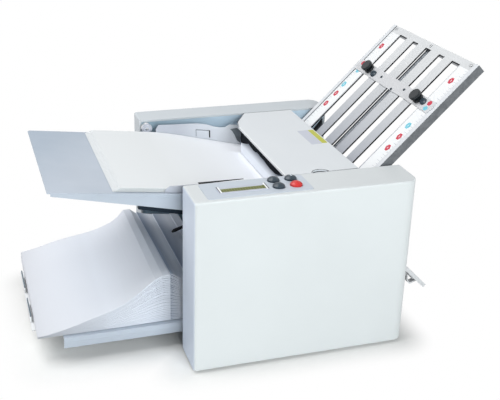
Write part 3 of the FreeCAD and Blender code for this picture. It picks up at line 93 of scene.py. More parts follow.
lens = bpy.data.cameras.new("product_camera")
lens.lens = 65.5
lens.sensor_width = 36.0
lens.shift_x = 0.0226
lens.shift_y = -0.02
lens.clip_start = 0.05
lens.clip_end = 20.0
camera = bpy.data.objects.new("product_camera", lens)
bpy.context.scene.collection.objects.link(camera)
turned = Matrix((side, top, -forward)).transposed().to_4x4()
camera.matrix_world = Matrix.Translation(camera_spot) @ turned
bpy.context.scene.camera = camera
bpy.context.scene.view_settings.view_transform = "Standard"
print("camera", [round(c, 3) for c in camera.matrix_world.translation], "lens", lens.lens)

# %% [markdown]
# ## Floor and light
# Product pictures of office machines stand on white. Under and beside the machine the floor is white
# paint, so it takes the machine's soft shadow. A few centimetres outside two rectangles, which stand
# for the machine's footprint, it has faded into a plain white that only the camera, mirrors and glass
# see, so the light on the machine doesn't grow. The sky follows the same rule: white to look at, and a
# faint even light otherwise.

# %% Nodes that the floor and the sky share


def wire(tree, *pairs):
    """Links sockets two by two."""
    for out, into in pairs:
        tree.links.new(out, into)


def add_up(tree, one, other, clamped=False):
    """The sum of two values, held between 0 and 1 when clamped."""
    step = tree.nodes.new("ShaderNodeMath")
    step.operation = "ADD"
    step.use_clamp = clamped
    wire(tree, (one, step.inputs[0]), (other, step.inputs[1]))
    return step.outputs[0]


def looked_at(tree):
    """One where the camera, a mirror or a glass looks, and nought for the light that falls on pieces."""
    path = tree.nodes.new("ShaderNodeLightPath")
    open_view = add_up(tree, path.outputs["Is Camera Ray"], path.outputs["Is Glossy Ray"])
    return add_up(tree, open_view, path.outputs["Is Transmission Ray"], clamped=True)


def outside(tree, place, x0, x1, y0, y1):
    """How far a point of the floor lies outside a rectangle."""
    middle = ((x0 + x1) / 2, (y0 + y1) / 2, 0)
    half = ((x1 - x0) / 2, (y1 - y0) / 2, 0)
    spot = place
    for how, value in (("SUBTRACT", middle), ("ABSOLUTE", None), ("SUBTRACT", half), ("MAXIMUM", (0, 0, 0))):
        step = tree.nodes.new("ShaderNodeVectorMath")
        step.operation = how
        if value:
            step.inputs[1].default_value = value
        wire(tree, (spot, step.inputs[0]))
        spot = step.outputs["Vector"]
    length = tree.nodes.new("ShaderNodeVectorMath")
    length.operation = "LENGTH"
    wire(tree, (spot, length.inputs[0]))
    return length.outputs["Value"]


print("studio nodes ready")

# %% The floor and the sky
tray_print, housing_print = (-0.275, -0.10, -0.112, 0.11), (-0.11, 0.17, -0.165, 0.17)
fade_length, floor_reach, ambient = 0.06, 3.0, 0.15
floor_paint, plain_white = (0.78, 0.78, 0.77, 1), (1, 1, 1, 1)


def studio_floor():
    """White paint near the machine, which fades into a plain white further out."""
    mat = bpy.data.materials.new("studio_white")
    mat.use_nodes = True
    t = mat.node_tree
    t.nodes.clear()
    out = t.nodes.new("ShaderNodeOutputMaterial")
    paint = t.nodes.new("ShaderNodeBsdfDiffuse")
    paint.inputs["Color"].default_value = floor_paint
    glow = t.nodes.new("ShaderNodeEmission")
    glow.inputs["Color"].default_value = plain_white
    glow.inputs["Strength"].default_value = 1.0
    place = t.nodes.new("ShaderNodeTexCoord").outputs["Object"]
    nearest = t.nodes.new("ShaderNodeMath")
    nearest.operation = "MINIMUM"
    for k, footprint in enumerate((tray_print, housing_print)):
        wire(t, (outside(t, place, *footprint), nearest.inputs[k]))
    fade = t.nodes.new("ShaderNodeMapRange")
    fade.interpolation_type = "SMOOTHSTEP"
    fade.inputs["From Max"].default_value = fade_length
    both = t.nodes.new("ShaderNodeMath")
    both.operation = "MULTIPLY"
    mix = t.nodes.new("ShaderNodeMixShader")
    wire(t, (nearest.outputs[0], fade.inputs["Value"]),
         (looked_at(t), both.inputs[0]), (fade.outputs["Result"], both.inputs[1]),
         (both.outputs[0], mix.inputs["Fac"]), (paint.outputs[0], mix.inputs[1]),
         (glow.outputs[0], mix.inputs[2]), (mix.outputs[0], out.inputs["Surface"]))
    return mat


def studio_sky():
    """White to look at, and a faint even light on the machine."""
    world = bpy.data.worlds.new("studio")
    bpy.context.scene.world = world
    world.use_nodes = True
    t = world.node_tree
    t.nodes.clear()
    out = t.nodes.new("ShaderNodeOutputWorld")
    sky = t.nodes.new("ShaderNodeBackground")
    sky.inputs["Color"].default_value = plain_white
    strength = t.nodes.new("ShaderNodeMapRange")
    strength.inputs["To Min"].default_value = ambient
    wire(t, (looked_at(t), strength.inputs["Value"]), (strength.outputs["Result"], sky.inputs["Strength"]),
         (sky.outputs[0], out.inputs["Surface"]))


floor_mesh = bpy.data.meshes.new("studio_floor")
floor_corners = [(x * floor_reach, y * floor_reach, 0) for x, y in ((-1, -1), (1, -1), (1, 1), (-1, 1))]
floor_mesh.from_pydata(floor_corners, [], [(0, 1, 2, 3)])
floor = bpy.data.objects.new("studio_floor", floor_mesh)
bpy.context.scene.collection.objects.link(floor)
floor_mesh.materials.append(studio_floor())
studio_sky()
print("floor and sky set")

# %% [markdown]
# Three soft boxes light the machine. The large one in front is a little cool and fills the front face,
# the one above and to the left lights the level covers and the paper, and a weak blue one keeps the
# left sides from going dark. Their places are in metres from the middle of the machine's base.

# %% The lamps


def soft_lamp(name, place, aim, size, watts, tint=(1, 1, 1)):
    """A square soft box at a place, turned towards a point."""
    light = bpy.data.lights.new(name, "AREA")
    light.shape = "SQUARE"
    light.size = size
    light.energy = watts
    light.color = tint
    lamp = bpy.data.objects.new(name, light)
    bpy.context.scene.collection.objects.link(lamp)
    look = (Vector(aim) - Vector(place)).normalized()
    lamp.matrix_world = Matrix.Translation(Vector(place)) @ look.to_track_quat("-Z", "Y").to_matrix().to_4x4()
    return lamp


soft_lamp("front_box", (0.2, -2.2, 0.9), aim=(0, 0, 0.12), size=1.4, watts=47, tint=(0.955, 1.0, 1.0))
soft_lamp("top_box", (-0.9, 0.25, 1.7), aim=(0, 0, 0.1), size=1.5, watts=32)
soft_lamp("left_box", (-1.8, -0.7, 0.9), aim=(-0.1, 0, 0.1), size=1.2, watts=2, tint=(0.90, 0.95, 1.0))
print("studio set")

# %% [markdown]
# ## Finishes
# Each finish is a small recipe of nodes. Most share the same start: a shader whose roughness is
# broken up by noise, a colour that drifts a little from place to place, and a fine bump. The helper
# below makes that start, and each finish then adds what is its own.

# %% A shared start for the finishes
MIX_SHARE, MIX_UNDER, MIX_OVER, MIX_RESULT = 0, 6, 7, 2  # the colour sockets of a mix node


def colour(r, g, b):
    """A colour as a screen shows it, 0 to 255, turned into the light it stands for."""
    def one(v):
        v /= 255.0
        return v / 12.92 if v <= 0.04045 else ((v + 0.055) / 1.055) ** 2.4
    return (one(r), one(g), one(b), 1.0)


def darker(rgb, steps):
    """A colour that is some steps darker."""
    return tuple(max(c - steps, 0) for c in rgb)


class Finish:
    """A material with a Principled shader and helpers that add a node and link it in one line."""

    def __init__(self, name, rgb, rough, metal=0.0):
        self.mat = bpy.data.materials.new(name)
        self.mat.use_nodes = True
        self.t = self.mat.node_tree
        self.shader = self.t.nodes["Principled BSDF"]
        self.rgb = colour(*rgb)
        self.shader.inputs["Base Color"].default_value = self.rgb
        self.shader.inputs["Roughness"].default_value = rough
        self.shader.inputs["Metallic"].default_value = metal
        self.place = self.t.nodes.new("ShaderNodeTexCoord").outputs["Object"]
        self.bumps = None

    def node(self, kind, **values):
        """A new node with some of its settings changed."""
        n = self.t.nodes.new(kind)
        for key, value in values.items():
            setattr(n, key, value)
        return n

    def noise(self, scale, detail=3.0, rough=0.5, stretch=(1, 1, 1)):
        """Soft noise in the piece's own space; stretch draws it out along an axis."""
        m = self.node("ShaderNodeMapping")
        m.inputs["Scale"].default_value = stretch
        n = self.node("ShaderNodeTexNoise")
        n.inputs["Scale"].default_value = scale
        n.inputs["Detail"].default_value = detail
        n.inputs["Roughness"].default_value = rough
        wire(self.t, (self.place, m.inputs["Vector"]), (m.outputs[0], n.inputs["Vector"]))
        return n.outputs["Fac"]

    def span(self, value, low, high, start=0.3, stop=0.7):
        """Turns a value between start and stop into one between low and high."""
        r = self.node("ShaderNodeMapRange")
        for key, v in (("From Min", start), ("From Max", stop), ("To Min", low), ("To Max", high)):
            r.inputs[key].default_value = v
        wire(self.t, (value, r.inputs["Value"]))
        return r.outputs["Result"]

    def rough(self, value):
        """Lets a value drive the roughness."""
        wire(self.t, (value, self.shader.inputs["Roughness"]))
        return self

    def gloss(self, value):
        """How much the surface mirrors when seen straight on; 0.5 is common for plastic and paint."""
        self.shader.inputs["Specular IOR Level"].default_value = value
        return self

    def paint(self, share, rgb):
        """Lays a colour over what is there, as far as the share says."""
        m = self.node("ShaderNodeMix", data_type="RGBA")
        had = self.shader.inputs["Base Color"].links
        if had:
            wire(self.t, (had[0].from_socket, m.inputs[MIX_UNDER]))
        else:
            m.inputs[MIX_UNDER].default_value = self.rgb
        m.inputs[MIX_OVER].default_value = colour(*rgb)
        wire(self.t, (share, m.inputs[MIX_SHARE]), (m.outputs[MIX_RESULT], self.shader.inputs["Base Color"]))
        return self

    def bump(self, height, strength, distance):
        """Adds fine relief on top of any relief before it."""
        b = self.node("ShaderNodeBump")
        b.inputs["Strength"].default_value = strength
        b.inputs["Distance"].default_value = distance
        wire(self.t, (height, b.inputs["Height"]))
        if self.bumps is not None:
            wire(self.t, (self.bumps, b.inputs["Normal"]))
        self.bumps = b.outputs["Normal"]
        wire(self.t, (self.bumps, self.shader.inputs["Normal"]))
        return self

    def towards(self, what, direction, origin=(0, 0, 0)):
        """How far a point, or a surface's normal, goes along a direction of the piece's own space."""
        vector = self.place if what == "point" else self.place.node.outputs["Normal"]
        less = self.node("ShaderNodeVectorMath", operation="SUBTRACT")
        less.inputs[1].default_value = origin
        dot = self.node("ShaderNodeVectorMath", operation="DOT_PRODUCT")
        dot.inputs[1].default_value = direction
        wire(self.t, (vector, less.inputs[0]), (less.outputs[0], dot.inputs[0]))
        return dot.outputs["Value"]

    def times(self, *values):
        """Several values multiplied."""
        got = values[0]
        for value in values[1:]:
            m = self.node("ShaderNodeMath", operation="MULTIPLY")
            wire(self.t, (got, m.inputs[0]), (value, m.inputs[1]))
            got = m.outputs[0]
        return got


def moulded(name, rgb, rough=0.42, grain=2600.0, drift=6):
    """Moulded plastic: a fine spark-eroded grain, a faint drift of colour and handling marks."""
    f = Finish(name, rgb, rough)
    f.rough(f.span(f.noise(16.0, 4.0), rough - 0.05, rough + 0.09))
    f.paint(f.span(f.noise(7.0, 3.0), 0.0, 1.0), darker(rgb, drift))
    f.bump(f.noise(grain, 2.0), 0.10, 0.00012)
    return f.gloss(0.4)


def powder_coat(name, rgb, rough=0.38, drift=7):
    """Powder coat on sheet steel: the slight orange peel of the paint and a faint drift of its colour."""
    f = Finish(name, rgb, rough)
    f.rough(f.span(f.noise(22.0, 4.0), rough - 0.06, rough + 0.10))
    f.paint(f.span(f.noise(9.0, 4.0), 0.0, 1.0), darker(rgb, drift))
    return f.bump(f.noise(900.0, 2.0), 0.16, 0.0002)


def brushed_metal(name, rgb, rough=0.3, along=(1, 60, 60), drift=14):
    """Bare metal with fine lines along one axis, and stains that only show in the gloss."""
    f = Finish(name, rgb, rough, 1.0)
    lines = f.noise(40.0, 6.0, 0.7, along)
    f.rough(f.span(lines, rough - 0.08, rough + 0.14))
    f.paint(f.span(lines, 0.0, 1.0, 0.35, 0.7), darker(rgb, drift))
    return f.bump(lines, 0.08, 0.0001)


def drifting(look, direction, start, length, rgb):
    """Lets a second colour come in along a direction, from a start point over a length in millimetres."""
    return look.paint(look.span(look.towards("point", direction, start), 0.0, 1.0, 0.0, length * MM), rgb)


print("helpers ready")

# %% [markdown]
# The housings, covers and buttons are moulded plastic. The table, frames and plates are powder-coated
# steel, and shafts, screws and bushes are bare metal. One line per material gives its colour, its
# roughness, and for plastic the fineness of its grain and how far its colour drifts. The CAD record
# names a material for each node, so one loop can dress them all.

# %% The finishes themselves
finish = {}
finish["housing_white"] = moulded("housing_white", (204, 208, 210), 0.46, 2400.0, 4)
finish["cover_grey"] = moulded("cover_grey", (210, 214, 218), 0.44, 2400.0, 4)
finish["panel_overlay"] = moulded("panel_overlay", (185, 193, 203), 0.34, 5200.0, 4)
finish["bezel"] = moulded("bezel", (208, 212, 222), 0.3, 4000.0, 4)
finish["black_plastic"] = moulded("black_plastic", (28, 33, 37), 0.36, 2200.0, 8)
finish["button_grey"] = moulded("button_grey", (50, 62, 72), 0.3, 3600.0, 10)
finish["button_red"] = moulded("button_red", (198, 52, 50), 0.34, 3600.0, 14)
finish["painted_steel"] = powder_coat("painted_steel", (175, 184, 196))
finish["frame_steel"] = powder_coat("frame_steel", (160, 182, 200))
finish["plate_steel"] = powder_coat("plate_steel", (206, 207, 210), 0.34)
finish["zinc_steel"] = brushed_metal("zinc_steel", (169, 171, 173), 0.34)
finish["rail_dark"] = brushed_metal("rail_dark", (112, 114, 118), 0.42, (60, 60, 60))
finish["chrome"] = brushed_metal("chrome", (225, 226, 228), 0.12, (60, 2, 60), 8)
finish["brass_bush"] = brushed_metal("bearing_bronze", (188, 150, 92), 0.36, (30, 30, 30))
finish["rubber_dark"] = moulded("roller_rubber", (44, 44, 48), 0.72, 900.0, 12)
finish["rubber_feet"] = moulded("foot_rubber", (40, 40, 42), 0.8, 1200.0, 8)
finish["board_green"] = moulded("circuit_board", (34, 104, 62), 0.4, 800.0, 20)
finish["gear_nylon"] = moulded("gear_nylon", (224, 220, 206), 0.45, 1500.0, 8)
finish["cork_pad"] = moulded("friction_lining", (150, 104, 66), 0.85, 700.0, 30)
finish["paper"] = Finish("copier_paper_painted_light", (215, 218, 220), 0.78)
finish["display"] = Finish("display_field", (112, 118, 40), 0.3)
slot_of = {s["node"]: s["material_slot"] for s in frame["record"]["subparts"]}
for name, node in nodes.items():
    node.data.materials.clear()
    node.data.materials.append(finish[slot_of[name]].mat)
    for face in node.data.polygons:
        face.material_index = 0
print("finishes", len(finish))

# %% [markdown]
# ## Two ways to draw the extra pieces
# Printed strips, labels and trims are thin slabs with an outline. They could be cut from boxes, but a
# drawing board is simpler: it has an origin and two directions, so the same few lines draw a label on
# the level cover and a strip on the leaning fold plate.

# %% A drawing board


class Board:
    """A mesh drawn on a board that may lean: u along it, v across it, n up from it, in millimetres."""

    def __init__(self, origin, along=(1, 0, 0), across=(0, 1, 0)):
        self.bm = bmesh.new()
        self.o, self.u, self.v = Vector(origin), Vector(along).normalized(), Vector(across).normalized()
        self.n = self.u.cross(self.v)

    def put(self, u, v, n):
        """A point in metres from a place on the board."""
        return self.o + (self.u * u + self.v * v + self.n * n) * MM

    def slab(self, outline, low, high):
        """A closed slab of an outline of (u, v); a height is a number or a rule of u and v."""
        def height(h, u, v):
            return h(u, v) if callable(h) else h
        under = [self.bm.verts.new(self.put(u, v, height(low, u, v))) for u, v in outline]
        over = [self.bm.verts.new(self.put(u, v, height(high, u, v))) for u, v in outline]
        self.bm.faces.new(over)
        self.bm.faces.new(under[::-1])
        for i in range(len(outline)):
            j = (i + 1) % len(outline)
            self.bm.faces.new((under[i], under[j], over[j], over[i]))
        return self

    def ring(self, outer, inner, low, high):
        """A flat frame between two outlines that have as many points."""
        loops = [[self.bm.verts.new(self.put(u, v, n)) for u, v in line]
                 for line, n in ((outer, low), (outer, high), (inner, high), (inner, low))]
        for a, b in zip(loops, loops[1:] + loops[:1]):
            for i in range(len(outer)):
                j = (i + 1) % len(outer)
                self.bm.faces.new((a[i], a[j], b[j], b[i]))
        return self

    def turned(self, profile, u=0.0, v=0.0, steps=40):
        """A shape of revolution about n at (u, v); the profile is a closed loop of (radius, height)."""
        rings = []
        for k in range(steps):
            a = 2 * math.pi * k / steps
            rings.append([self.bm.verts.new(self.put(u + r * math.cos(a), v + r * math.sin(a), h))
                          for r, h in profile])
        for k in range(steps):
            a, b = rings[k], rings[(k + 1) % steps]
            for i in range(len(profile)):
                j = (i + 1) % len(profile)
                self.bm.faces.new((a[i], b[i], b[j], a[j]))
        return self

    def piece(self, name, body, slot, look=None, bevel=0.0):
        """Closes the drawing into a piece that rides on a body and has a finish."""
        bmesh.ops.remove_doubles(self.bm, verts=self.bm.verts, dist=1e-7)
        bmesh.ops.recalc_face_normals(self.bm, faces=self.bm.faces)
        if bevel:
            bmesh.ops.bevel(self.bm, geom=self.bm.edges[:], offset=bevel * MM, segments=2, affect="EDGES",
                            profile=0.5, clamp_overlap=True)
        mesh = bpy.data.meshes.new(name)
        self.bm.to_mesh(mesh)
        self.bm.free()
        return keep(name, mesh, body, slot, look)


def keep(name, mesh, body, slot, look=None):
    """Puts a mesh into the scene as a finished piece. It may have no slot, and then it needs a look."""
    mesh.materials.clear()
    mesh.materials.append((look or finish[slot]).mat)
    for face in mesh.polygons:
        face.use_smooth = False
    piece = bpy.data.objects.new(name, mesh)
    bpy.context.scene.collection.objects.link(piece)
    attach(piece, body)
    print(name, len(mesh.polygons), "faces on", body)
    return piece


def rectangle(u0, u1, v0, v1):
    """The outline of a rectangle."""
    return [(u0, v0), (u1, v0), (u1, v1), (u0, v1)]


def rounded(u0, u1, v0, v1, r, steps=4):
    """The outline of a rectangle with rounded corners."""
    centres = ((u1 - r, v1 - r), (u0 + r, v1 - r), (u0 + r, v0 + r), (u1 - r, v0 + r))
    points = []
    for quarter, (cu, cv) in enumerate(centres):
        for k in range(steps + 1):
            a = math.radians(90 * quarter + 90 * k / steps)
            points.append((cu + r * math.cos(a), cv + r * math.sin(a)))
    return points


print("drawing board ready")

# %% [markdown]
# What repeats is grown with Geometry Nodes instead: a mesh of loose points says where the copies go,
# and a small tree says what stands on each point. The tree's sizes are named inputs, so one tree
# serves several pieces. When it has run, the result is kept as a plain mesh and the points are dropped.

# %% A helper that builds node trees


class Tree:
    """A Geometry Nodes tree with named inputs. Nodes are added and linked in one step."""

    def __init__(self, name, **inputs):
        self.t = bpy.data.node_groups.new(name, "GeometryNodeTree")
        face = self.t.interface
        face.new_socket(name="Points", in_out="INPUT", socket_type="NodeSocketGeometry")
        for key, value in inputs.items():
            kind = "NodeSocketInt" if isinstance(value, int) else "NodeSocketFloat"
            face.new_socket(name=key, in_out="INPUT", socket_type=kind).default_value = value
        face.new_socket(name="finish", in_out="INPUT", socket_type="NodeSocketMaterial")
        face.new_socket(name="Mesh", in_out="OUTPUT", socket_type="NodeSocketGeometry")
        self.given = self.t.nodes.new("NodeGroupInput").outputs
        self.result = self.t.nodes.new("NodeGroupOutput").inputs["Mesh"]

    def add(self, kind, ins=(), **settings):
        """Adds a node; ins pairs an input's name or number with a value or with another socket."""
        n = self.t.nodes.new(kind)
        for key, value in settings.items():
            setattr(n, key, value)
        for key, value in dict(ins).items():
            if isinstance(value, bpy.types.NodeSocket):
                self.t.links.new(value, n.inputs[key])
            else:
                n.inputs[key].default_value = value
        return n

    def math(self, how, *values):
        """A sum, a product or another operation on values."""
        return self.add("ShaderNodeMath", enumerate(values), operation=how).outputs[0]

    def mark(self, name, kind="FLOAT"):
        """Reads what was written on the points under a name."""
        reader = self.add("GeometryNodeInputNamedAttribute", {"Name": name}, data_type=kind)
        return reader.outputs["Attribute"]

    def vector(self, x, y, z):
        """Three values as one vector."""
        return self.add("ShaderNodeCombineXYZ", {"X": x, "Y": y, "Z": z}).outputs[0]

    def parts_of(self, vector):
        """A vector's three values."""
        return self.add("ShaderNodeSeparateXYZ", {0: vector}).outputs

    def end(self, geometry):
        """Gives the geometry its finish and closes the tree."""
        coat = self.add("GeometryNodeSetMaterial", {"Geometry": geometry, "Material": self.given["finish"]})
        self.t.links.new(coat.outputs[0], self.result)
        return self


def write_marks(mesh, marks):
    """Writes rows of numbers or of vectors on a mesh's points, for a tree to read."""
    for key, values in marks.items():
        if hasattr(values[0], "__len__"):
            layer = mesh.attributes.new(key, "FLOAT_VECTOR", "POINT")
            layer.data.foreach_set("vector", [c for v in values for c in v])
        else:
            layer = mesh.attributes.new(key, "FLOAT", "POINT")
            layer.data.foreach_set("value", values)


def grow(name, tree, places, body, slot, look=None, marks=None, **sizes):
    """Runs a tree on a mesh of loose points, and keeps the result as one plain piece."""
    marks = marks or {}
    seed = bpy.data.meshes.new(name + "_points")
    seed.from_pydata([tuple(p) for p in places], [], [])
    write_marks(seed, marks)
    grower = bpy.data.objects.new(name + "_points", seed)
    bpy.context.scene.collection.objects.link(grower)
    modifier = grower.modifiers.new("grow", "NODES")
    modifier.node_group = tree.t
    for item in tree.t.interface.items_tree:
        if item.in_out == "INPUT" and item.name in sizes:
            modifier[item.identifier] = sizes[item.name]
        if item.name == "finish":
            modifier[item.identifier] = (look or finish[slot]).mat
    bpy.context.view_layer.update()
    mesh = bpy.data.meshes.new_from_object(grower.evaluated_get(bpy.context.evaluated_depsgraph_get()))
    bpy.data.objects.remove(grower)
    mesh.name = name
    for key in [a.name for a in mesh.attributes if a.name in marks or a.name == "run"]:
        mesh.attributes.remove(mesh.attributes[key])
    return keep(name, mesh, body, slot, look)


print("tree helpers ready")

# %% [markdown]
# ## Paper on the feed table
# A stack of loose sheets lies on the table and bends where the table turns down towards the feed
# tyres. A single block would show a smooth side; real sheets show fine lines at their edges, and each
# lies a little off the one below. So a tree lays one thin sheet per point of a short upright line,
# shifts each by a seeded random amount, and then lowers every corner by the rule of the table.

# %% A tree for sheets on the table


def sheet_tree():
    t = Tree("sheets_on_the_table", sheets=28, pitch=0.00024, thickness=0.00018, length=0.228, width=0.216,
             fan=0.0055, slip=0.0007, seed=4, table_x=0.0, table_z=0.0, slope_out=0.1, slope_in=0.2,
             bend=0.004)
    g = t.given
    line = t.add("GeometryNodeMeshLine", {"Count": g["sheets"], "Start Location": (0, 0, 0),
                                          "Offset": t.vector(0.0, 0.0, g["pitch"])})
    blank = t.add("GeometryNodeMeshCube", {"Size": t.vector(g["length"], g["width"], g["thickness"]),
                                           "Vertices X": 40, "Vertices Y": 3, "Vertices Z": 2})
    laid = t.add("GeometryNodeInstanceOnPoints", {"Points": line.outputs[0], "Instance": blank.outputs[0]})
    number = t.add("GeometryNodeInputIndex").outputs[0]
    back_slip = t.math("MULTIPLY", g["slip"], -1.0)
    slipped = t.add("FunctionNodeRandomValue",
                    {"Min": t.vector(back_slip, back_slip, 0.0), "Max": t.vector(g["slip"], g["slip"], 0.0),
                     "ID": number, "Seed": g["seed"]}, data_type="FLOAT_VECTOR").outputs["Value"]
    share = t.math("DIVIDE", number, g["sheets"])
    lean = t.vector(t.math("MULTIPLY", share, g["fan"]), 0.0, 0.0)
    shift = t.add("ShaderNodeVectorMath", {0: slipped, 1: lean}, operation="ADD").outputs[0]
    moved = t.add("GeometryNodeTranslateInstances", {"Instances": laid.outputs[0], "Translation": shift})
    stack = t.add("GeometryNodeInstanceOnPoints", {"Points": g["Points"], "Instance": moved.outputs[0]})
    real = t.add("GeometryNodeRealizeInstances", {"Geometry": stack.outputs[0]})
    x = t.parts_of(t.add("GeometryNodeInputPosition").outputs[0])[0]
    past = t.math("SUBTRACT", x, g["table_x"])
    outer = t.math("MULTIPLY", past, t.math("MULTIPLY", g["slope_out"], -1.0))
    inner = t.math("MULTIPLY", past, t.math("MULTIPLY", g["slope_in"], -1.0))
    drop = t.math("SMOOTH_MIN", outer, inner, g["bend"])
    lowered = t.vector(0.0, 0.0, t.math("ADD", drop, g["table_z"]))
    lie = t.add("GeometryNodeSetPosition", {"Geometry": real.outputs[0], "Offset": lowered})
    return t.end(lie.outputs[0])


print("sheet tree ready")

# %% The stack on the table
table_turn_x, table_turn_z, slope_out, slope_in = 30.0, 208.5, 0.11579, 0.24417
sheet_length, sheet_width, sheet_fan = 222.0, 216.0, 11.0
stack_left, table_gap = -82.0, 0.35
turn_at = at(table_turn_x, mid_y, table_turn_z)
stack_at = at(stack_left + sheet_length / 2, mid_y, 0.0)
stack = grow("sheets_to_fold", sheet_tree(), [(stack_at.x, stack_at.y, table_gap * MM)], "chassis", "paper",
             sheets=22, pitch=0.00024, thickness=0.00017, length=sheet_length * MM, width=sheet_width * MM,
             fan=sheet_fan * MM, slip=0.0005, seed=4, table_x=turn_at.x, table_z=turn_at.z,
             slope_out=slope_out, slope_in=slope_in)
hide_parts("paper_stack")

# %% [markdown]
# ## Folded paper on the tray
# Folded sheets spring open a little at their folds, so the pile is high where the folds are and low at
# its free end, and its top follows a curve. Each folded sheet is one strip bent back on itself. The
# tree bends a flat blank into that hairpin and then lifts it to its share of the pile's height, which
# two curves give: one for the front edge of the pile and one for the back edge. The strips lie closer
# where the pile is low.

# %% A tree for folded sheets
pile_from, pile_to, pile_floor, pile_reach = -185.0, 55.0, 32.4, 110.0
back_line = ((-183, 48.6), (-125, 62), (-75, 71.5), (-55, 79), (-46, 83.5), (-35, 94.5), (-27, 100.5),
             (-20, 98.5), (-11, 91), (12, 84.5), (40, 80.5), (52, 79))
front_line = ((-183, 34.5), (-150, 40), (-117, 49.5), (-76, 63.5), (-49, 81.5), (-35, 92.5), (-25, 98.5),
              (-17, 100.5), (-9, 98), (-2, 92.5), (8, 87), (30, 82), (52, 79))


def edge_curve(t, share, points):
    """The pile's height along one of its edges, as a share of the reach."""
    curve = t.add("ShaderNodeFloatCurve", {"Value": share})
    line = curve.mapping.curves[0]
    while len(line.points) > 2:
        line.points.remove(line.points[1])
    spots = [((x - pile_from) / (pile_to - pile_from), (z - pile_floor) / pile_reach) for x, z in points]
    line.points[0].location = (0.0, spots[0][1])
    line.points[-1].location = (1.0, spots[-1][1])
    for x, z in spots:
        if 0 < x < 1:
            line.points.new(x, z)
    curve.mapping.update()
    return curve.outputs[0]


def pile_tree():
    t = Tree("folded_sheets", gap=0.00042, thickness=0.00018, width=0.216, left_x=0.0, right_x=0.24,
             floor_z=0.03, reach=0.11, crowding=1.5, sharpness=36.0, open_height=0.045, least_open=0.05)
    g = t.given
    blank = t.add("GeometryNodeMeshCube",
                  {"Size": (1, 1, 1), "Vertices X": 65, "Vertices Y": 9, "Vertices Z": 2})
    spot = t.add("GeometryNodeInputPosition").outputs[0]
    noted = t.add("GeometryNodeStoreNamedAttribute",
                  {"Geometry": blank.outputs[0], "Name": "run", "Value": spot},
                  data_type="FLOAT_VECTOR", domain="POINT")
    laid = t.add("GeometryNodeInstanceOnPoints", {"Points": g["Points"], "Instance": noted.outputs[0]})
    real = t.add("GeometryNodeRealizeInstances", {"Geometry": laid.outputs[0]})
    length, across, ply = t.parts_of(t.mark("run", "FLOAT_VECTOR"))[:3]
    left, far, lift, slip = (t.mark(key) for key in ("left", "right", "lift", "slip"))
    from_fold = t.math("MULTIPLY", t.math("ABSOLUTE", length), 2.0)
    run = t.math("POWER", from_fold, g["crowding"])
    turn = t.math("TANH", t.math("MULTIPLY", run, g["sharpness"]))
    # a little over 1, so that rounding never asks for the root of less than nought
    nose = t.math("SQRT", t.math("SUBTRACT", 1.0001, t.math("MULTIPLY", turn, turn)))
    flat_x = t.math("ADD", left, t.math("MULTIPLY", t.math("SUBTRACT", far, left), run))
    whole = t.math("SUBTRACT", g["right_x"], g["left_x"])
    share = t.math("DIVIDE", t.math("SUBTRACT", flat_x, g["left_x"]), whole)
    front, rear = (edge_curve(t, share, points) for points in (front_line, back_line))
    blend = t.add("ShaderNodeMix", {"Factor": t.math("ADD", across, 0.5), "A": front, "B": rear}).outputs[0]
    height = t.math("MULTIPLY", blend, g["reach"])
    opening = t.math("DIVIDE", height, g["open_height"])
    squeeze = t.add("ShaderNodeClamp", {"Value": opening, "Min": g["least_open"], "Max": 1.0}).outputs[0]
    half = t.math("MULTIPLY", squeeze, t.math("ADD", g["gap"], t.math("MULTIPLY", ply, g["thickness"])))
    x = t.math("SUBTRACT", flat_x, t.math("MULTIPLY", half, nose))
    rise = t.math("MULTIPLY", half, t.math("MULTIPLY", turn, t.math("SIGN", length)))
    under = t.math("ADD", t.math("MULTIPLY", height, lift), t.mark("over"))
    z = t.math("ADD", under, t.math("ADD", rise, g["floor_z"]))
    base = t.parts_of(t.mark("place", "FLOAT_VECTOR"))
    y = t.math("ADD", base[1], t.math("ADD", t.math("MULTIPLY", across, g["width"]), slip))
    lie = t.add("GeometryNodeSetPosition", {"Geometry": real.outputs[0], "Position": t.vector(x, y, z)})
    return t.end(lie.outputs[0])


print("pile tree ready")

# %% [markdown]
# Most letters reach from one end of the pile to the other, each a little off the one below. The three
# newest lie on top with their folds further in, in the shade of the machine, and each is a little
# bluer just behind its fold. That shade is part of the finish, because the bulge that makes it on
# real paper is too slight to model.

# %% The pile on the tray
draw = random.Random(11)
folded_count, pile_left, pile_right = 27, -182.0, 51.5
newest = ((-11.6, 1.4, 0.8), (12.5, 2.6, 0.7), (39.3, 3.6, 0.15))  # fold, height over the pile, shade
shade_start, shade_end, shade_blue = 1.0, 18.0, (118, 138, 166)
left_spread, right_spread, lift_spread, slip_spread, newest_slip = 2.5, 2.0, 0.006, 0.6, 0.4
lowest = 0.55  # the first letter's place, in steps of the pile
letters = {"left": [], "right": [], "lift": [], "slip": [], "over": []}


def lay(left, far, lift, slip, over=0.0):
    """Notes one letter: its ends, slip and extra height in millimetres, and its share of the height."""
    row = {"left": at(left, 0, 0).x, "right": at(far, 0, 0).x, "lift": lift, "slip": slip * MM,
           "over": over * MM}
    for key, value in row.items():
        letters[key].append(value)


for k in range(folded_count):
    lay(pile_left + left_spread * draw.random(), pile_right - right_spread * draw.random(),
        (k + lowest) / folded_count + lift_spread * (draw.random() - 0.5),
        slip_spread * (draw.random() - 0.5))
for left, over, shade in newest:
    lay(left, pile_right, 1.0, newest_slip * (draw.random() - 0.5), over)

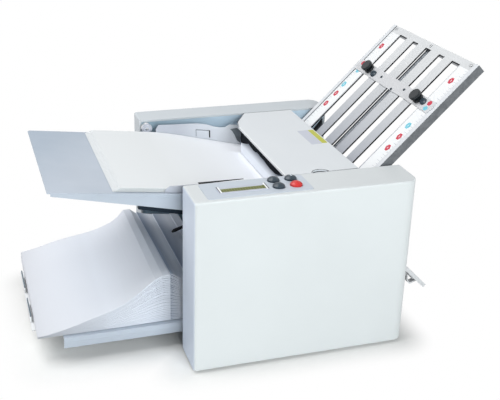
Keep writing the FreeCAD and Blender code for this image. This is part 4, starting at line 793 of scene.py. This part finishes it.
folded_paper = Finish("folded_paper", (200, 202, 208), 0.8)
# painted shade at the pile's left end and painted light towards its middle, under the feed table
drifting(folded_paper, right, at(-180, 0, 0), 90, (226, 230, 238))
drifting(folded_paper, right, at(-100, 0, 0), 60, (240, 244, 252))
facing_up = folded_paper.span(folded_paper.towards("normal", up), 0.0, 1.0, 0.6, 0.85)
for left, over, shade in newest:
    ahead = folded_paper.towards("point", right, at(left, 0, 0))
    begun = folded_paper.span(ahead, 0.0, 1.0, 0.0, 0.6 * MM)
    fading = folded_paper.span(ahead, shade, 0.0, shade_start * MM, shade_end * MM)
    folded_paper.paint(folded_paper.times(begun, fading, facing_up), shade_blue)
folded_paper.bump(folded_paper.noise(1500.0, 2.0), 0.05, 0.0001)

centres = [tuple(at(0, mid_y, 0))] * len(letters["left"])
pile = grow("folded_letters", pile_tree(), centres, "tray", "paper", folded_paper,
            marks=dict(letters, place=centres), gap=0.00042, thickness=0.00034,
            width=(sheet_width - 1.0) * MM, left_x=at(pile_from, 0, 0).x, right_x=at(pile_to, 0, 0).x,
            floor_z=at(0, 0, pile_floor).z, reach=pile_reach * MM)
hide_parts("folded_sheets")

# %% [markdown]
# ## Printed strips and marks on the upper plate
# The plate has a scale on each side: a white printed strip with fine ticks and a few coloured marks
# that tell the operator where to set the stop for each kind of fold. They are drawn on a board that
# leans with the plate and starts in the middle of its upper edge.

# %% The plate as a drawing board
plate_lean, plate_length, sheet_steel = math.radians(44.6), 228.0, 1.2
plate_low, plate_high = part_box("upper_plate_top_sheet")
plate_mid = (plate_low.y + plate_high.y) / 2
plate_along = Vector((math.cos(plate_lean), 0, math.sin(plate_lean)))
plate_tip = Vector((plate_high.x - sheet_steel * MM * math.sin(plate_lean), plate_mid, plate_high.z))
plate_up = plate_along.cross(back)
plate_board = dict(origin=plate_tip, along=plate_along, across=back)
plate_face = Board(**plate_board)


def on_plate(u, v, n):
    """A point on the plate: u along it from its upper edge, v across from its middle, n off its face."""
    return plate_face.put(u, v, n)


print("plate tip", [round(c, 4) for c in plate_tip])

# %% [markdown]
# The rails are painted dark, and their upper lips carry a painted highlight. The recipe asks
# which way a surface faces, so only what looks up from the plate turns light. The plate itself is painted
# grey-blue near the rollers, as painted shade where the covers take the light, and paler towards its free
# end.

# %% Rails with painted highlights on their lips, and painted shade at the plate's foot
rails = moulded("rail_steel_and_highlight", (88, 91, 95), 0.46, 1500.0, 20)
rails.paint(rails.span(rails.noise(160.0, 4.0, 0.7), 0.0, 0.6), (120, 122, 126))
# painted highlight on the rail lips that face up from the plate
rails.paint(rails.span(rails.towards("normal", plate_up), 0.0, 1.0, 0.5, 0.8), (212, 215, 219))
enamel = powder_coat("plate_enamel_and_shade", (210, 212, 214), 0.36)
foot_shade_share, foot_at, pale_at = 0.95, -plate_length * MM, -50.0 * MM  # along the plate from its tip
# painted shade: grey-blue towards the plate's foot near the rollers
shade_near_foot = enamel.span(enamel.towards("point", plate_along, plate_tip), foot_shade_share, 0.0, foot_at, pale_at)
enamel.paint(shade_near_foot, (144, 149, 160))
rod = brushed_metal("rod_steel", (146, 150, 156), 0.4)
for name, look in (("upper_plate_rails", rails), ("upper_plate_top_sheet", enamel),
                   ("upper_plate_bottom_sheet", enamel), ("upper_plate_rod", rod)):
    nodes[name].data.materials[0] = look.mat
print("rails and plate finished")

# %% [markdown]
# Here a second colour comes in along a direction of a piece, over a length that is easy to read off.
# Most of these are painted light and shade: the guides and the rear frame are painted paler towards the
# right, the table darker towards its back left, the paper on the table paler towards the feed, and the
# housings bluer on their left faces and greyer at the back. The end stop is white with a dark band at its
# tips.

# %% Painted light and shade that change along a piece
guides_painted_light = powder_coat("guide_enamel_painted_light", (184, 188, 198), 0.36)
# painted light: the guides paler towards the right
drifting(guides_painted_light, right, at(50, 0, 0), 90, (226, 230, 236))
frame_painted_light = powder_coat("frame_enamel_painted_light", (138, 160, 174))
# painted light: the rear frame paler towards the right, where the cover shades it
drifting(frame_painted_light, right, at(5, 0, 0), 120, (180, 200, 216))
table = powder_coat("table_enamel_painted_shade", (175, 184, 196))
# painted shade: the table darker towards its back left
drifting(table, Vector((-0.8, 0.6, 0)), at(-100, 150, 0), 90, (154, 166, 180))
arms = moulded("arm_black", (14, 28, 40), 0.5, 2200.0, 6).gloss(0.15)
slide = moulded("slide_white", (236, 238, 240), 0.5, 2200.0, 4)
# a dark blue-grey band on the end stop's tips, from 38.4 mm up
drifting(slide, up, at(0, 0, 38.4), 0.4, (92, 104, 114))
for name, look in (("front_guide", guides_painted_light), ("rear_guide", guides_painted_light), ("rear_side_frame", frame_painted_light),
                   ("feed_table", table), ("table_support_arms", arms), ("end_stop", slide)):
    nodes[name].data.materials[0] = look.mat

# painted light: the paper on the table paler towards the feed, where the covers shade it
drifting(finish["paper"], right, at(0, 0, 0), 135, (240, 243, 249))
white = finish["housing_white"]
# painted shade: the housings bluer on faces that look left
white.paint(white.span(white.towards("normal", -right), 0.0, 1.0, 0.6, 0.95), (201, 210, 224))
# painted shade: the housings greyer at the back
drifting(white, back, at(0, 285, 0), 20, (190, 196, 201))
print("drifting finishes ready")

# %% [markdown]
# Prints, labels, trims and the slabs of painted light and shade are smoother than what they sit on. Most
# are ink or film, so their grain is very fine, and the dark trims and painted shade hardly mirror, so they
# read as thin shadows.

# %% New finishes for prints and trims
prints = {}
# some of these colours also paint light and shade: the white a highlight, the label grey a reflection, the
# smoke and black ones shade
for name, rgb, rough, grain, drift in (
        ("strip_white", (236, 238, 240), 0.35, 5000.0, 3), ("mark_red", (196, 58, 78), 0.4, 5000.0, 8),
        ("mark_cyan", (120, 196, 214), 0.4, 5000.0, 8), ("tick_grey", (176, 182, 190), 0.5, 5000.0, 6),
        ("label_grey", (188, 192, 204), 0.4, 5000.0, 8), ("label_yellow", (178, 180, 52), 0.4, 5000.0, 10),
        ("trim_black", (20, 22, 26), 0.6, 1500.0, 6), ("symbol_pale", (206, 214, 220), 0.4, 5000.0, 6),
        ("smoke_grey", (124, 132, 138), 0.6, 1500.0, 40), ("smoke_dark", (58, 62, 68), 0.5, 1500.0, 16),
        ("display_cells", (84, 90, 32), 0.3, 3000.0, 10)):
    prints[name] = moulded(name, rgb, rough, grain, drift)
prints["trim_black"].gloss(0.2)
print("prints", len(prints))

# %% [markdown]
# Printing has almost no height, so each print is a slab about a tenth of a millimetre thick or less.
# Ticks and marks repeat, so a tree stands one many-sided slab on each point; four sides make a tick,
# and six make a mark.

# %% A tree for many-sided slabs on points


def slab_tree():
    t = Tree("slabs_on_points", sides=6, lean=0.0)
    g = t.given
    half = t.math("DIVIDE", math.pi, g["sides"])
    radius = t.math("DIVIDE", 0.5, t.math("COSINE", half))
    disc = t.add("GeometryNodeMeshCylinder", {"Vertices": g["sides"], "Radius": radius, "Depth": 1.0})
    squared = t.vector(0.0, 0.0, half)
    square = t.add("GeometryNodeTransform", {"Geometry": disc.outputs[0], "Rotation": squared})
    leaning = t.vector(0.0, t.math("MULTIPLY", g["lean"], -1.0), 0.0)
    size = t.mark("size", "FLOAT_VECTOR")
    laid = t.add("GeometryNodeInstanceOnPoints", {"Points": g["Points"], "Instance": square.outputs[0],
                                                  "Scale": size, "Rotation": leaning})
    real = t.add("GeometryNodeRealizeInstances", {"Geometry": laid.outputs[0]})
    return t.end(real.outputs[0])


slabs = slab_tree()


def plate_slabs(name, spots, sides, slot, look, body="upper_plate"):
    """Slabs on the plate from rows of u, v, n and the sizes along, across and up, in millimetres."""
    return grow(name, slabs, [on_plate(*s[:3]) for s in spots], body, slot, look,
                {"size": [tuple(c * MM for c in s[3:]) for s in spots]}, sides=sides, lean=plate_lean)


print("slab tree ready")

# %% Strips, ticks and marks
strip_t, strip_in, strip_out, strip_end = 0.12, 87.5, 111.4, -12.0
strip_start, strip_corner, strip_lift = -plate_length + 8, 2.0, 0.01
for side_name, sign in (("front", -1), ("rear", 1)):
    low_v, high_v = sorted((sign * strip_in, sign * strip_out))
    strip = Board(**plate_board)
    strip.slab(rounded(strip_start, strip_end, low_v, high_v, strip_corner), strip_lift, strip_t)
    strip.piece("scale_strip_" + side_name, "upper_plate", "bezel", prints["strip_white"])

print_n, print_t = strip_t + 0.02, 0.05
tick_count, first_tick, tick_step, tick_width, tick_margin = 41, -215.0, 5.0, 0.4, 1.0
long_tick, short_tick = 7.0, 4.0
ticks = []
for sign in (-1, 1):
    for k in range(tick_count):
        size = long_tick if k % 2 == 0 else short_tick
        ticks.append((first_tick + tick_step * k, sign * (strip_out - tick_margin - size / 2), print_n,
                      tick_width, size, print_t))
plate_slabs("scale_ticks", ticks, 4, None, prints["tick_grey"])

red_spots = ((-35.2, -100.8), (-76.7, -102.7), (-134, -106), (-154.5, -104.9),
             (-38.9, 106.9), (-80.7, 108.1), (-136.2, 106.2), (-157.3, 106.8))
cyan_spots = ((-83.4, -101.8), (-115.4, -102.9), (-88.4, 106.1), (-118.2, 108.1))
mark_n, mark_in, mark_size, mark_centre = print_n + print_t, 3.6, (9.6, 8.8), (2.6, 1.1)
red_marks = [(u, v - math.copysign(mark_in, v), mark_n, *mark_size, print_t) for u, v in red_spots]
cyan_marks = [(u, v - math.copysign(mark_in, v), mark_n, *mark_size, print_t) for u, v in cyan_spots]
plate_slabs("red_marks", red_marks, 6, "button_red", prints["mark_red"])
plate_slabs("cyan_marks", cyan_marks, 6, None, prints["mark_cyan"])
plate_slabs("mark_centres", [(u, v - math.copysign(mark_in, v), mark_n + print_t, *mark_centre, print_t)
                             for u, v in red_spots + cyan_spots], 4, "bezel", prints["strip_white"])

# %% [markdown]
# ## Painted shade in the slots
# The slots of the plate are in shade on two of their walls, and that shade is painted: thin black
# bars stand in the thickness of the sheet, a little away from the slot's wall, and again one tree
# places them all.

# %% Black bars of painted shade in the slots
slot_pitch, slot_width, outer_width = 37.5, 14.4, 20.4
slot_low, slot_high = -plate_length + 8.0, -10.0
# black bars of painted shade on two walls of each slot
slot_shade_t, slot_shade_tall, slot_shade_n, slot_shade_gap = 1.6, 1.3, -0.5, 0.05
slot_shade_bars = []
for k in range(-2, 3):
    width = outer_width if abs(k) == 2 else slot_width
    middle = k * slot_pitch
    wall = middle + width / 2 - slot_shade_t / 2 - slot_shade_gap
    slot_shade_bars.append(((slot_low + slot_high) / 2, wall, slot_shade_n, slot_high - slot_low - 0.4, slot_shade_t, slot_shade_tall))
    end = slot_high - slot_shade_t / 2 - slot_shade_gap
    slot_shade_bars.append((end, middle, slot_shade_n, slot_shade_t, width - 2 * slot_shade_t - 0.2, slot_shade_tall))
plate_slabs("slot_painted_shade", slot_shade_bars, 4, "black_plastic", prints["trim_black"])

# %% [markdown]
# ## Screws
# A screw is a low domed head with a six-lobed socket. The tree draws one head from a twelve-sided
# drum: its top is drawn in for the dome, drawn in again for the rim of the socket, every second corner
# is pulled inwards for the lobes, and the floor of the socket is pushed down. The points carry the
# direction that each head faces.

# %% A tree for screw heads
head_steps = ((0.32, 0.82), (0.18, 0.7), (0.0, 0.62))  # rise as a share of the height, and shrink


def screw_tree():
    t = Tree("screw_heads", radius=0.0035, height=0.0022, lobe=0.3, socket=-0.6)
    g = t.given
    drum = t.add("GeometryNodeMeshCylinder", {"Vertices": 12, "Radius": g["radius"],
                                              "Depth": t.math("MULTIPLY", g["height"], 0.5)})
    shape, top = drum.outputs[0], drum.outputs["Top"]
    for rise, shrink in head_steps:
        step = t.add("GeometryNodeExtrudeMesh",
                     {"Mesh": shape, "Selection": top, "Offset Scale": t.math("MULTIPLY", g["height"], rise),
                      "Individual": False}, mode="FACES")
        size = t.add("GeometryNodeScaleElements",
                     {"Geometry": step.outputs["Mesh"], "Selection": step.outputs["Top"], "Scale": shrink})
        shape, top = size.outputs[0], step.outputs["Top"]
    x, y, z = t.parts_of(t.add("GeometryNodeInputPosition").outputs[0])[:3]
    odd = t.math("MODULO", t.add("GeometryNodeInputIndex").outputs[0], 2.0)
    pull = t.math("SUBTRACT", 1.0, t.math("MULTIPLY", odd, g["lobe"]))
    pulled = t.vector(t.math("MULTIPLY", x, pull), t.math("MULTIPLY", y, pull), z)
    lobed = t.add("GeometryNodeSetPosition", {"Geometry": shape, "Selection": top, "Position": pulled})
    depth = t.math("MULTIPLY", g["height"], g["socket"])
    sunk = t.add("GeometryNodeExtrudeMesh", {"Mesh": lobed.outputs[0], "Selection": top,
                                             "Offset Scale": depth, "Individual": False}, mode="FACES")
    stood = t.add("FunctionNodeAlignRotationToVector", {"Vector": t.mark("facing", "FLOAT_VECTOR")}, axis="Z")
    spin = t.vector(0.0, 0.0, t.mark("spin"))
    spun = t.add("FunctionNodeRotateRotation", {"Rotation": stood.outputs[0], "Rotate By": spin},
                 rotation_space="LOCAL")
    laid = t.add("GeometryNodeInstanceOnPoints", {"Points": g["Points"], "Instance": sunk.outputs["Mesh"],
                                                  "Rotation": spun.outputs[0]})
    real = t.add("GeometryNodeRealizeInstances", {"Geometry": laid.outputs[0]})
    return t.end(real.outputs[0])


screws = screw_tree()
turns = random.Random(3)


def screw_row(name, body, spots, facing, radius, height, look=None):
    """Screw heads at points in metres that all face one way; they stand a little into what they hold."""
    return grow(name, screws, spots, body, "zinc_steel", look,
                {"facing": [tuple(facing)] * len(spots), "spin": [turns.random() for _ in spots]},
                radius=radius * MM, height=height * MM)


print("screw tree ready")

# %% [markdown]
# The stop bar slides up and down the plate. It carries three dark screws, a low foot beside each clamp
# knob, and small marks in the colours of the plate's own marks, so the operator sees which line to
# follow. The feet are shapes of revolution, drawn from one profile. The plate itself is held by five
# screws near its ends.

# %% Screws, feet and marks of the stop bar, and the plate's screws
bar_top, plate_top, screw_lift = 2.3, 0.0, 0.3
bar_spots = ((-79.5, 34.9), (-87.0, -7.5), (-78.3, -33.4))
screw_row("bar_screws", "upper_stop", [on_plate(u, v, bar_top + screw_lift) for u, v in bar_spots],
          plate_up, 2.0, 1.4, finish["button_grey"])

foot_profile = ((0.8, 0.0), (5.0, 0.0), (5.2, 1.4), (4.2, 3.6), (0.8, 3.6))
feet = Board(**plate_board)
for u, v in ((-81.8, 56.8), (-78.5, -89.2)):
    feet.turned([(r, bar_top + n) for r, n in foot_profile], u, v, 28)
feet.piece("clamp_feet", "upper_stop", "black_plastic", finish["button_grey"])

bar_n, bar_t, bar_red, bar_cyan = bar_top + 0.05, 0.08, (7.2, 8.2), (6.4, 8.2)
plate_slabs("bar_red_marks", [(-75.8, v, bar_n, *bar_red, bar_t) for v in (103.2, -102.0)], 6,
            "button_red", prints["mark_red"], "upper_stop")
plate_slabs("bar_cyan_mark", [(-84.6, -102.6, bar_n, *bar_cyan, bar_t)], 6,
            None, prints["mark_cyan"], "upper_stop")

plate_spots = ((-5.0, 106.0), (-5.0, -106.0), (-5.0, 0.0), (-223.0, 100.0), (-223.0, -100.0))
screw_row("plate_screws", "upper_plate", [on_plate(u, v, plate_top + 0.4) for u, v in plate_spots],
          plate_up, 2.4, 1.4)

# %% [markdown]
# The end cover on the right is held by a screw near each corner. On the back of the rear housing sits
# the plate that gives a machine's voltage and number. Here it stays blank, a thin rounded sheet of
# bare steel with four rivets.

# %% Screws of the end cover, and the rating plate
cover_low, cover_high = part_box("right_cover")
edge_in = 9.0 * MM
cover_spots = [(cover_high.x + screw_lift * MM, y, z) for y in (cover_low.y + edge_in, cover_high.y - edge_in)
               for z in (cover_low.z + edge_in, cover_high.z - edge_in)]
screw_row("end_cover_screws", "chassis", cover_spots, right, 2.8, 1.8)

rating_x, rating_z, rating_half = 120.0, 62.0, (29.0, 15.0)
back_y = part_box("rear_housing")[1].y
back_face = Board(Vector((corner.x + rating_x * MM, back_y, corner.z + rating_z * MM)), -right, up)
rivets = [back_face.put(u, v, screw_lift) for u in (-26.0, 26.0) for v in (-12.0, 12.0)]
wide, tall = rating_half
back_face.slab(rounded(-wide, wide, -tall, tall, 2.0), -0.2, 0.25)
back_face.piece("blank_rating_plate", "chassis", "zinc_steel")
screw_row("rating_plate_rivets", "chassis", rivets, back, 1.3, 1.0)

# %% [markdown]
# ## Trims on the covers
# The top cover has a small rating label without any print on it and a green-yellow band beside it.
# Both are films, so a slab a fraction of a millimetre thick is enough for each.

# %% Labels on the cover


def on_top(name, body, slot, look, low, high, *outlines):
    """One piece from flat slabs on the level top of the covers, in millimetres."""
    board = Board(at(0, 0, housing_top))
    for outline in outlines:
        board.slab(outline, low, high)
    return board.piece(name, body, slot, look)


label_low, label_high, label_corner = -0.18, 0.14, 1.2
on_top("blank_label", "cover", None, prints["label_grey"], label_low, label_high,
       rounded(206.5, 222.2, 154.5, 211.0, label_corner))
on_top("green_band", "cover", None, prints["label_yellow"], label_low, label_high,
       rounded(222.6, 230.5, 156.0, 211.0, label_corner))

# %% [markdown]
# Under the cover's left edge hangs a black comb that keeps fingers away from the feed tyres. It is partly
# painted shade: its near-black, matte colour also stands for the shade under the cover's edge, and its
# foot, drawn point by point, follows where that shade ends. A row of rounded teeth stands off its face.
# A thin pale lip closes the gap below the comb. It is painted shade: pale at its foot like paper in
# shade, and darker towards the top, where the cover keeps the light off.

# %% The comb and its lip
comb_x, comb_top, comb_t = 133.6, 225.2, 1.6
comb_foot = ((245, 214), (243, 207), (239, 206.4), (228, 209.5), (215, 213.5), (209, 216.6), (203, 215.2),
             (186, 213.8), (178, 214.6), (172, 216.4), (166, 216.6), (158, 215.6), (143, 215.6), (132, 214.2),
             (118, 213.4), (98, 214.0), (88, 216.4), (80, 219.4), (64, 221))
tooth_count, first_tooth, tooth_pitch, tooth_wide, tooth_foot, tooth_reach = 14, 72.0, 12.0, 2.4, 221.7, 6.0
# partly painted shade: near-black and matte for the shade under the cover's edge
comb_black_and_shade = moulded("comb_black_and_shade", (10, 13, 20), 0.7, 1500.0, 3).gloss(0.05)
comb = Board(at(comb_x, 0, 0), back, up)
comb.slab([(64, comb_top), (245, comb_top), *comb_foot], 0.0, comb_t)
for k in range(tooth_count):
    y = first_tooth + tooth_pitch * k
    tooth = rounded(y, y + tooth_wide, tooth_foot, comb_top - 0.3, 0.6, 2)
    comb.slab(tooth, comb_t - 0.05, comb_t + tooth_reach)
comb.piece("feed_comb", "chassis", "black_plastic", comb_black_and_shade)

lip_foot, lip_top, lip_shade_from, lip_t = 189.3, 221.5, 201.0, 0.4
# painted shade on a pale sheet: like paper in shade at its foot, dark towards the top under the cover
comb_shade_lip = Finish("comb_shade_lip", (222, 226, 233), 0.7)
drifting(comb_shade_lip, up, at(0, 0, lip_shade_from), 14.0, (96, 104, 116))
lip_sheet = Board(at(comb_x + comb_t + 0.1, 0, 0), back, up)
lip_sheet.slab(rectangle(74.5, 247, lip_foot, lip_top), 0.0, lip_t)
lip_sheet.piece("comb_shade_lip", "chassis", None, comb_shade_lip)

# %% [markdown]
# Dark lines run along the panel's film and round the cover where it meets the housings; along the cover's
# cut corner the dark line is painted shade of its edge, and a white strip along its left edge is a painted
# highlight. A round thumb notch at the front lets a hand lift the cover. It has a small pan below it, and a
# dark line follows its edge. Thin slabs draw them all.

# %% Lines and notch of the cover
line_low, line_high = -0.3, 0.08
notch_x, notch_y, notch_r, notch_line = 179.5, 54.0, 12.0, 0.7


def notch_arc(radius):
    """The round edge of the thumb notch, in short steps."""
    angles = [math.radians(a) for a in range(18, 163, 8)]
    return [(notch_x + radius * math.cos(a), notch_y + radius * math.sin(a)) for a in angles]


panel_line = ((20.4, 56.4), (20.4, 61.6), (45.0, 61.0), (78.0, 60.2), (78.0, 59.2), (45.0, 57.8))
on_top("panel_edge_line", "chassis", "black_plastic", prints["trim_black"], -0.4, 0.15, panel_line)

cover_front = ((188.0, 57.2), (188.0, 57.7), (231.8, 58.3), (231.8, 57.2))
cut_corner = ((130.9, 246.0), (135.9, 268.2), (157.9, 306.1))
# painted shade along the cover's cut corner edge
corner_shade_lines = [((x0, y0), (x0 + 0.7, y0 - 0.2), (x1 + 0.7, y1 - 0.2), (x1, y1))
                for (x0, y0), (x1, y1) in zip(cut_corner, cut_corner[1:])]
on_top("cover_edge_line", "cover", "black_plastic", prints["smoke_dark"], line_low, line_high,
       cover_front, *corner_shade_lines, rectangle(158.0, 232.0, 305.3, 306.0))
# painted highlight along the cover's left edge
on_top("cover_edge_highlight", "cover", "bezel", prints["strip_white"], line_low, 0.06,
       rectangle(131.0, 132.9, 57.6, 245.4))
on_top("notch_pan", "cover", "cover_grey", None, -4.6, -3.4, notch_arc(notch_r))
on_top("notch_edge", "cover", "black_plastic", prints["trim_black"], line_low, line_high,
       notch_arc(notch_r + notch_line) + notch_arc(notch_r)[::-1])

# %% [markdown]
# ## Small parts of the feed
# The rear paper guide carries a thin grey sheet of painted shade on its inner face, and a small tab with
# a thin line round it and a painted shadow along its right edge. A bracket under the upper plate joins it
# to its rail. Two grey rings on the guide's chrome knob, one round the other, are painted reflection. A
# black hold-down finger keeps the folded sheets low where they leave the machine, and the table's front
# flange has a pressed bead. All but the rings are cut from flat sheet, so an outline and a thickness are
# enough.

# %% Painted shade on the guide, bracket, knob rings, finger, tab and bead


def upright_sheet(name, body, y, slot, look, low, high, *outlines, bevel=0.0):
    """One piece from flat slabs that stand along the housing at a depth, in millimetres."""
    board = Board(at(0, y, 0), right, up)
    for outline in outlines:
        board.slab(outline, low, high)
    return board.piece(name, body, slot, look, bevel)


# painted shade: a thin grey sheet on the rear guide's inner face
guide_shade_line = ((132.0, 210.4), (142.0, 211.6), (147.4, 208.0), (147.6, 188.0), (143.0, 192.0), (139.0, 201.0),
            (135.0, 207.0))
upright_sheet("guide_painted_shade", "rear_guide", 289.95, "black_plastic", prints["smoke_grey"], 0.0, 0.3,
              guide_shade_line)

bracket = Board(**plate_board)
bracket.slab([(-204.0, 90.0), (-177.5, 94.8), (-192.5, 66.0)], -9.2, -8.0)
bracket.piece("plate_bracket", "upper_plate", "black_plastic", prints["smoke_dark"])

# painted reflection: grey rings that dull the chrome knob's face
knob_rings = ((6.05, 7.3, -1.9, -0.1), (2.6, 5.4, -0.1, 0.35))  # both radii, low and high
ring_board = Board(at(8.6, 296.0, 218.6), right, up)
for hole, reach, low, high in knob_rings:
    ring_board.turned([(hole, low), (reach, low), (reach, high), (hole, high)])
ring_board.piece("knob_reflection_rings", "guide_knob", None, prints["label_grey"])

finger_line = ((23.5, 91.6), (26.0, 94.5), (38.0, 98.6), (55, 103.0), (72.6, 106.6), (72.6, 104.6),
               (55, 100.9), (38.5, 96.4), (29.0, 92.6))
upright_sheet("hold_down_finger", "chassis", 214, "black_plastic", prints["trim_black"], 0.0, 5.5,
              finger_line, bevel=0.3)

tab_y, tab_sunk = 289.9, -0.2
upright_sheet("guide_tab", "rear_guide", tab_y, "plate_steel", guides_painted_light, tab_sunk, 1.1,
              ((79.6, 204.8), (99.4, 200.8), (99.2, 211.1), (79.5, 214.0)), bevel=0.2)
# painted shadow along the tab's right edge
upright_sheet("guide_tab_shadow", "rear_guide", tab_y, "black_plastic", prints["trim_black"], tab_sunk, 1.4,
              ((99.5, 200.6), (101.0, 200.3), (100.8, 211.0), (99.3, 211.3)))
upright_sheet("guide_tab_line", "rear_guide", tab_y, "black_plastic", prints["smoke_grey"], tab_sunk, 1.25,
              ((79.5, 213.6), (99.2, 210.7), (99.2, 211.2), (79.5, 214.1)),
              ((79.6, 204.8), (80.1, 204.7), (80.0, 213.9), (79.5, 214.0)))
upright_sheet("flange_bead", "chassis", 68.2, "painted_steel", None, 0.0, 1.3,
              ((-104.0, 222.4), (0.0, 205.9), (0.0, 207.0), (-104.0, 223.4)), bevel=0.35)

# %% [markdown]
# ## Buttons and display
# Each button carries a pale sign: two arrows, a plus and a square, which mean up, down, more and stop.
# A flat sign would sink into the dome, so its top follows the dome's sphere.

# %% Signs on the buttons
dome_r, dome_centre, sign_sunk, sign_proud = 9.6, 224.8, 0.4, 0.07
triangle = ((-2.6, -1.8), (2.6, -1.8), (0.0, 2.6))
plus = ((-0.7, -2.6), (0.7, -2.6), (0.7, -0.7), (2.6, -0.7), (2.6, 0.7), (0.7, 0.7), (0.7, 2.6), (-0.7, 2.6),
        (-0.7, 0.7), (-2.6, 0.7), (-2.6, -0.7), (-0.7, -0.7))
square = rectangle(-1.9, 1.9, -1.9, 1.9)
signs = {"button_front_left": [(-u, -v) for u, v in triangle], "button_rear_left": triangle,
         "button_rear_right": plus, "button_stop": square}


def dome(u, v):
    """The height of a button's dome over the housing's underside."""
    return dome_centre + math.sqrt(dome_r ** 2 - u * u - v * v)


for button, outline in signs.items():
    low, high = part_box(button)
    sign = Board(Vector(((low.x + high.x) / 2, (low.y + high.y) / 2, corner.z)))
    sign.slab(outline, lambda u, v: dome(u, v) - sign_sunk, lambda u, v: dome(u, v) + sign_proud)
    sign.piece(button + "_sign", button, "bezel", prints["symbol_pale"])

# %% [markdown]
# The display's window shows the faint cells of a two-line readout, one slab per cell. A grey rim goes
# round the bezel. Near each end of the bezel a dark line of painted shade lies beside a white bar of
# painted highlight, which stand for the light on its bevelled ends. Cells and rim follow the boxes of
# the window and the bezel.

# %% Cells, rim and ends of the display
view_low, view_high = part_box("display_window")
cell_columns, cell_rows, cell_gap, cell_t = 16, 2, 0.7, 0.05
side_margin, end_margin = 2.4 * MM, 3.0 * MM
first_x, first_y = view_low.x + side_margin, view_low.y + end_margin
pitch_x = (view_high.x - side_margin - first_x) / cell_columns
pitch_y = (view_high.y - end_margin - first_y) / cell_rows
cells = [(first_x + pitch_x * (i + 0.5), first_y + pitch_y * (j + 0.5), view_high.z + 0.03 * MM)
         for i in range(cell_columns) for j in range(cell_rows)]
cell = (pitch_x - cell_gap * MM, pitch_y - cell_gap * MM, cell_t * MM)
grow("display_cells", slabs, cells, "chassis", "display", prints["display_cells"],
     {"size": [cell] * len(cells)}, sides=4, lean=0.0)

bezel_low, bezel_high = (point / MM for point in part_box("display_bezel"))
rim_out, rim_in, rim_rise = 0.6, 0.5, 0.25


def round_bezel(out, radius):
    """The bezel's outline, moved outwards, with rounded corners."""
    return rounded(bezel_low.x - out, bezel_high.x + out, bezel_low.y - out, bezel_high.y + out, radius)


rim = Board(Vector((0, 0, 0)))
rim.ring(round_bezel(rim_out, 1.6), round_bezel(-rim_in, 0.6), bezel_low.z, bezel_high.z + rim_rise)
rim.piece("display_rim", "chassis", "bezel", prints["label_grey"])
nodes["display_bezel"].data.materials[0] = prints["label_grey"].mat

bezel_face = Vector((corner.x, corner.y, bezel_high.z * MM))
# painted shade and painted highlight at the bezel's bevelled ends
line_half, wedge_from, wedge_to = 0.45, 0.6, 2.6
ends, wedges = Board(bezel_face), Board(bezel_face)
for way, x in ((-1, 36.4), (1, 97.2)):
    ends.slab(rectangle(x - line_half, x + line_half, 19.4, 37.6), 0.0, 0.4)
    near, far = sorted((x - way * wedge_from, x - way * wedge_to))
    wedges.slab(rectangle(near, far, 19.8, 37.2), 0.0, 0.35)
ends.piece("display_end_shade_lines", "chassis", "black_plastic", prints["smoke_dark"])
wedges.piece("display_end_highlights", "chassis", "bezel", prints["strip_white"])
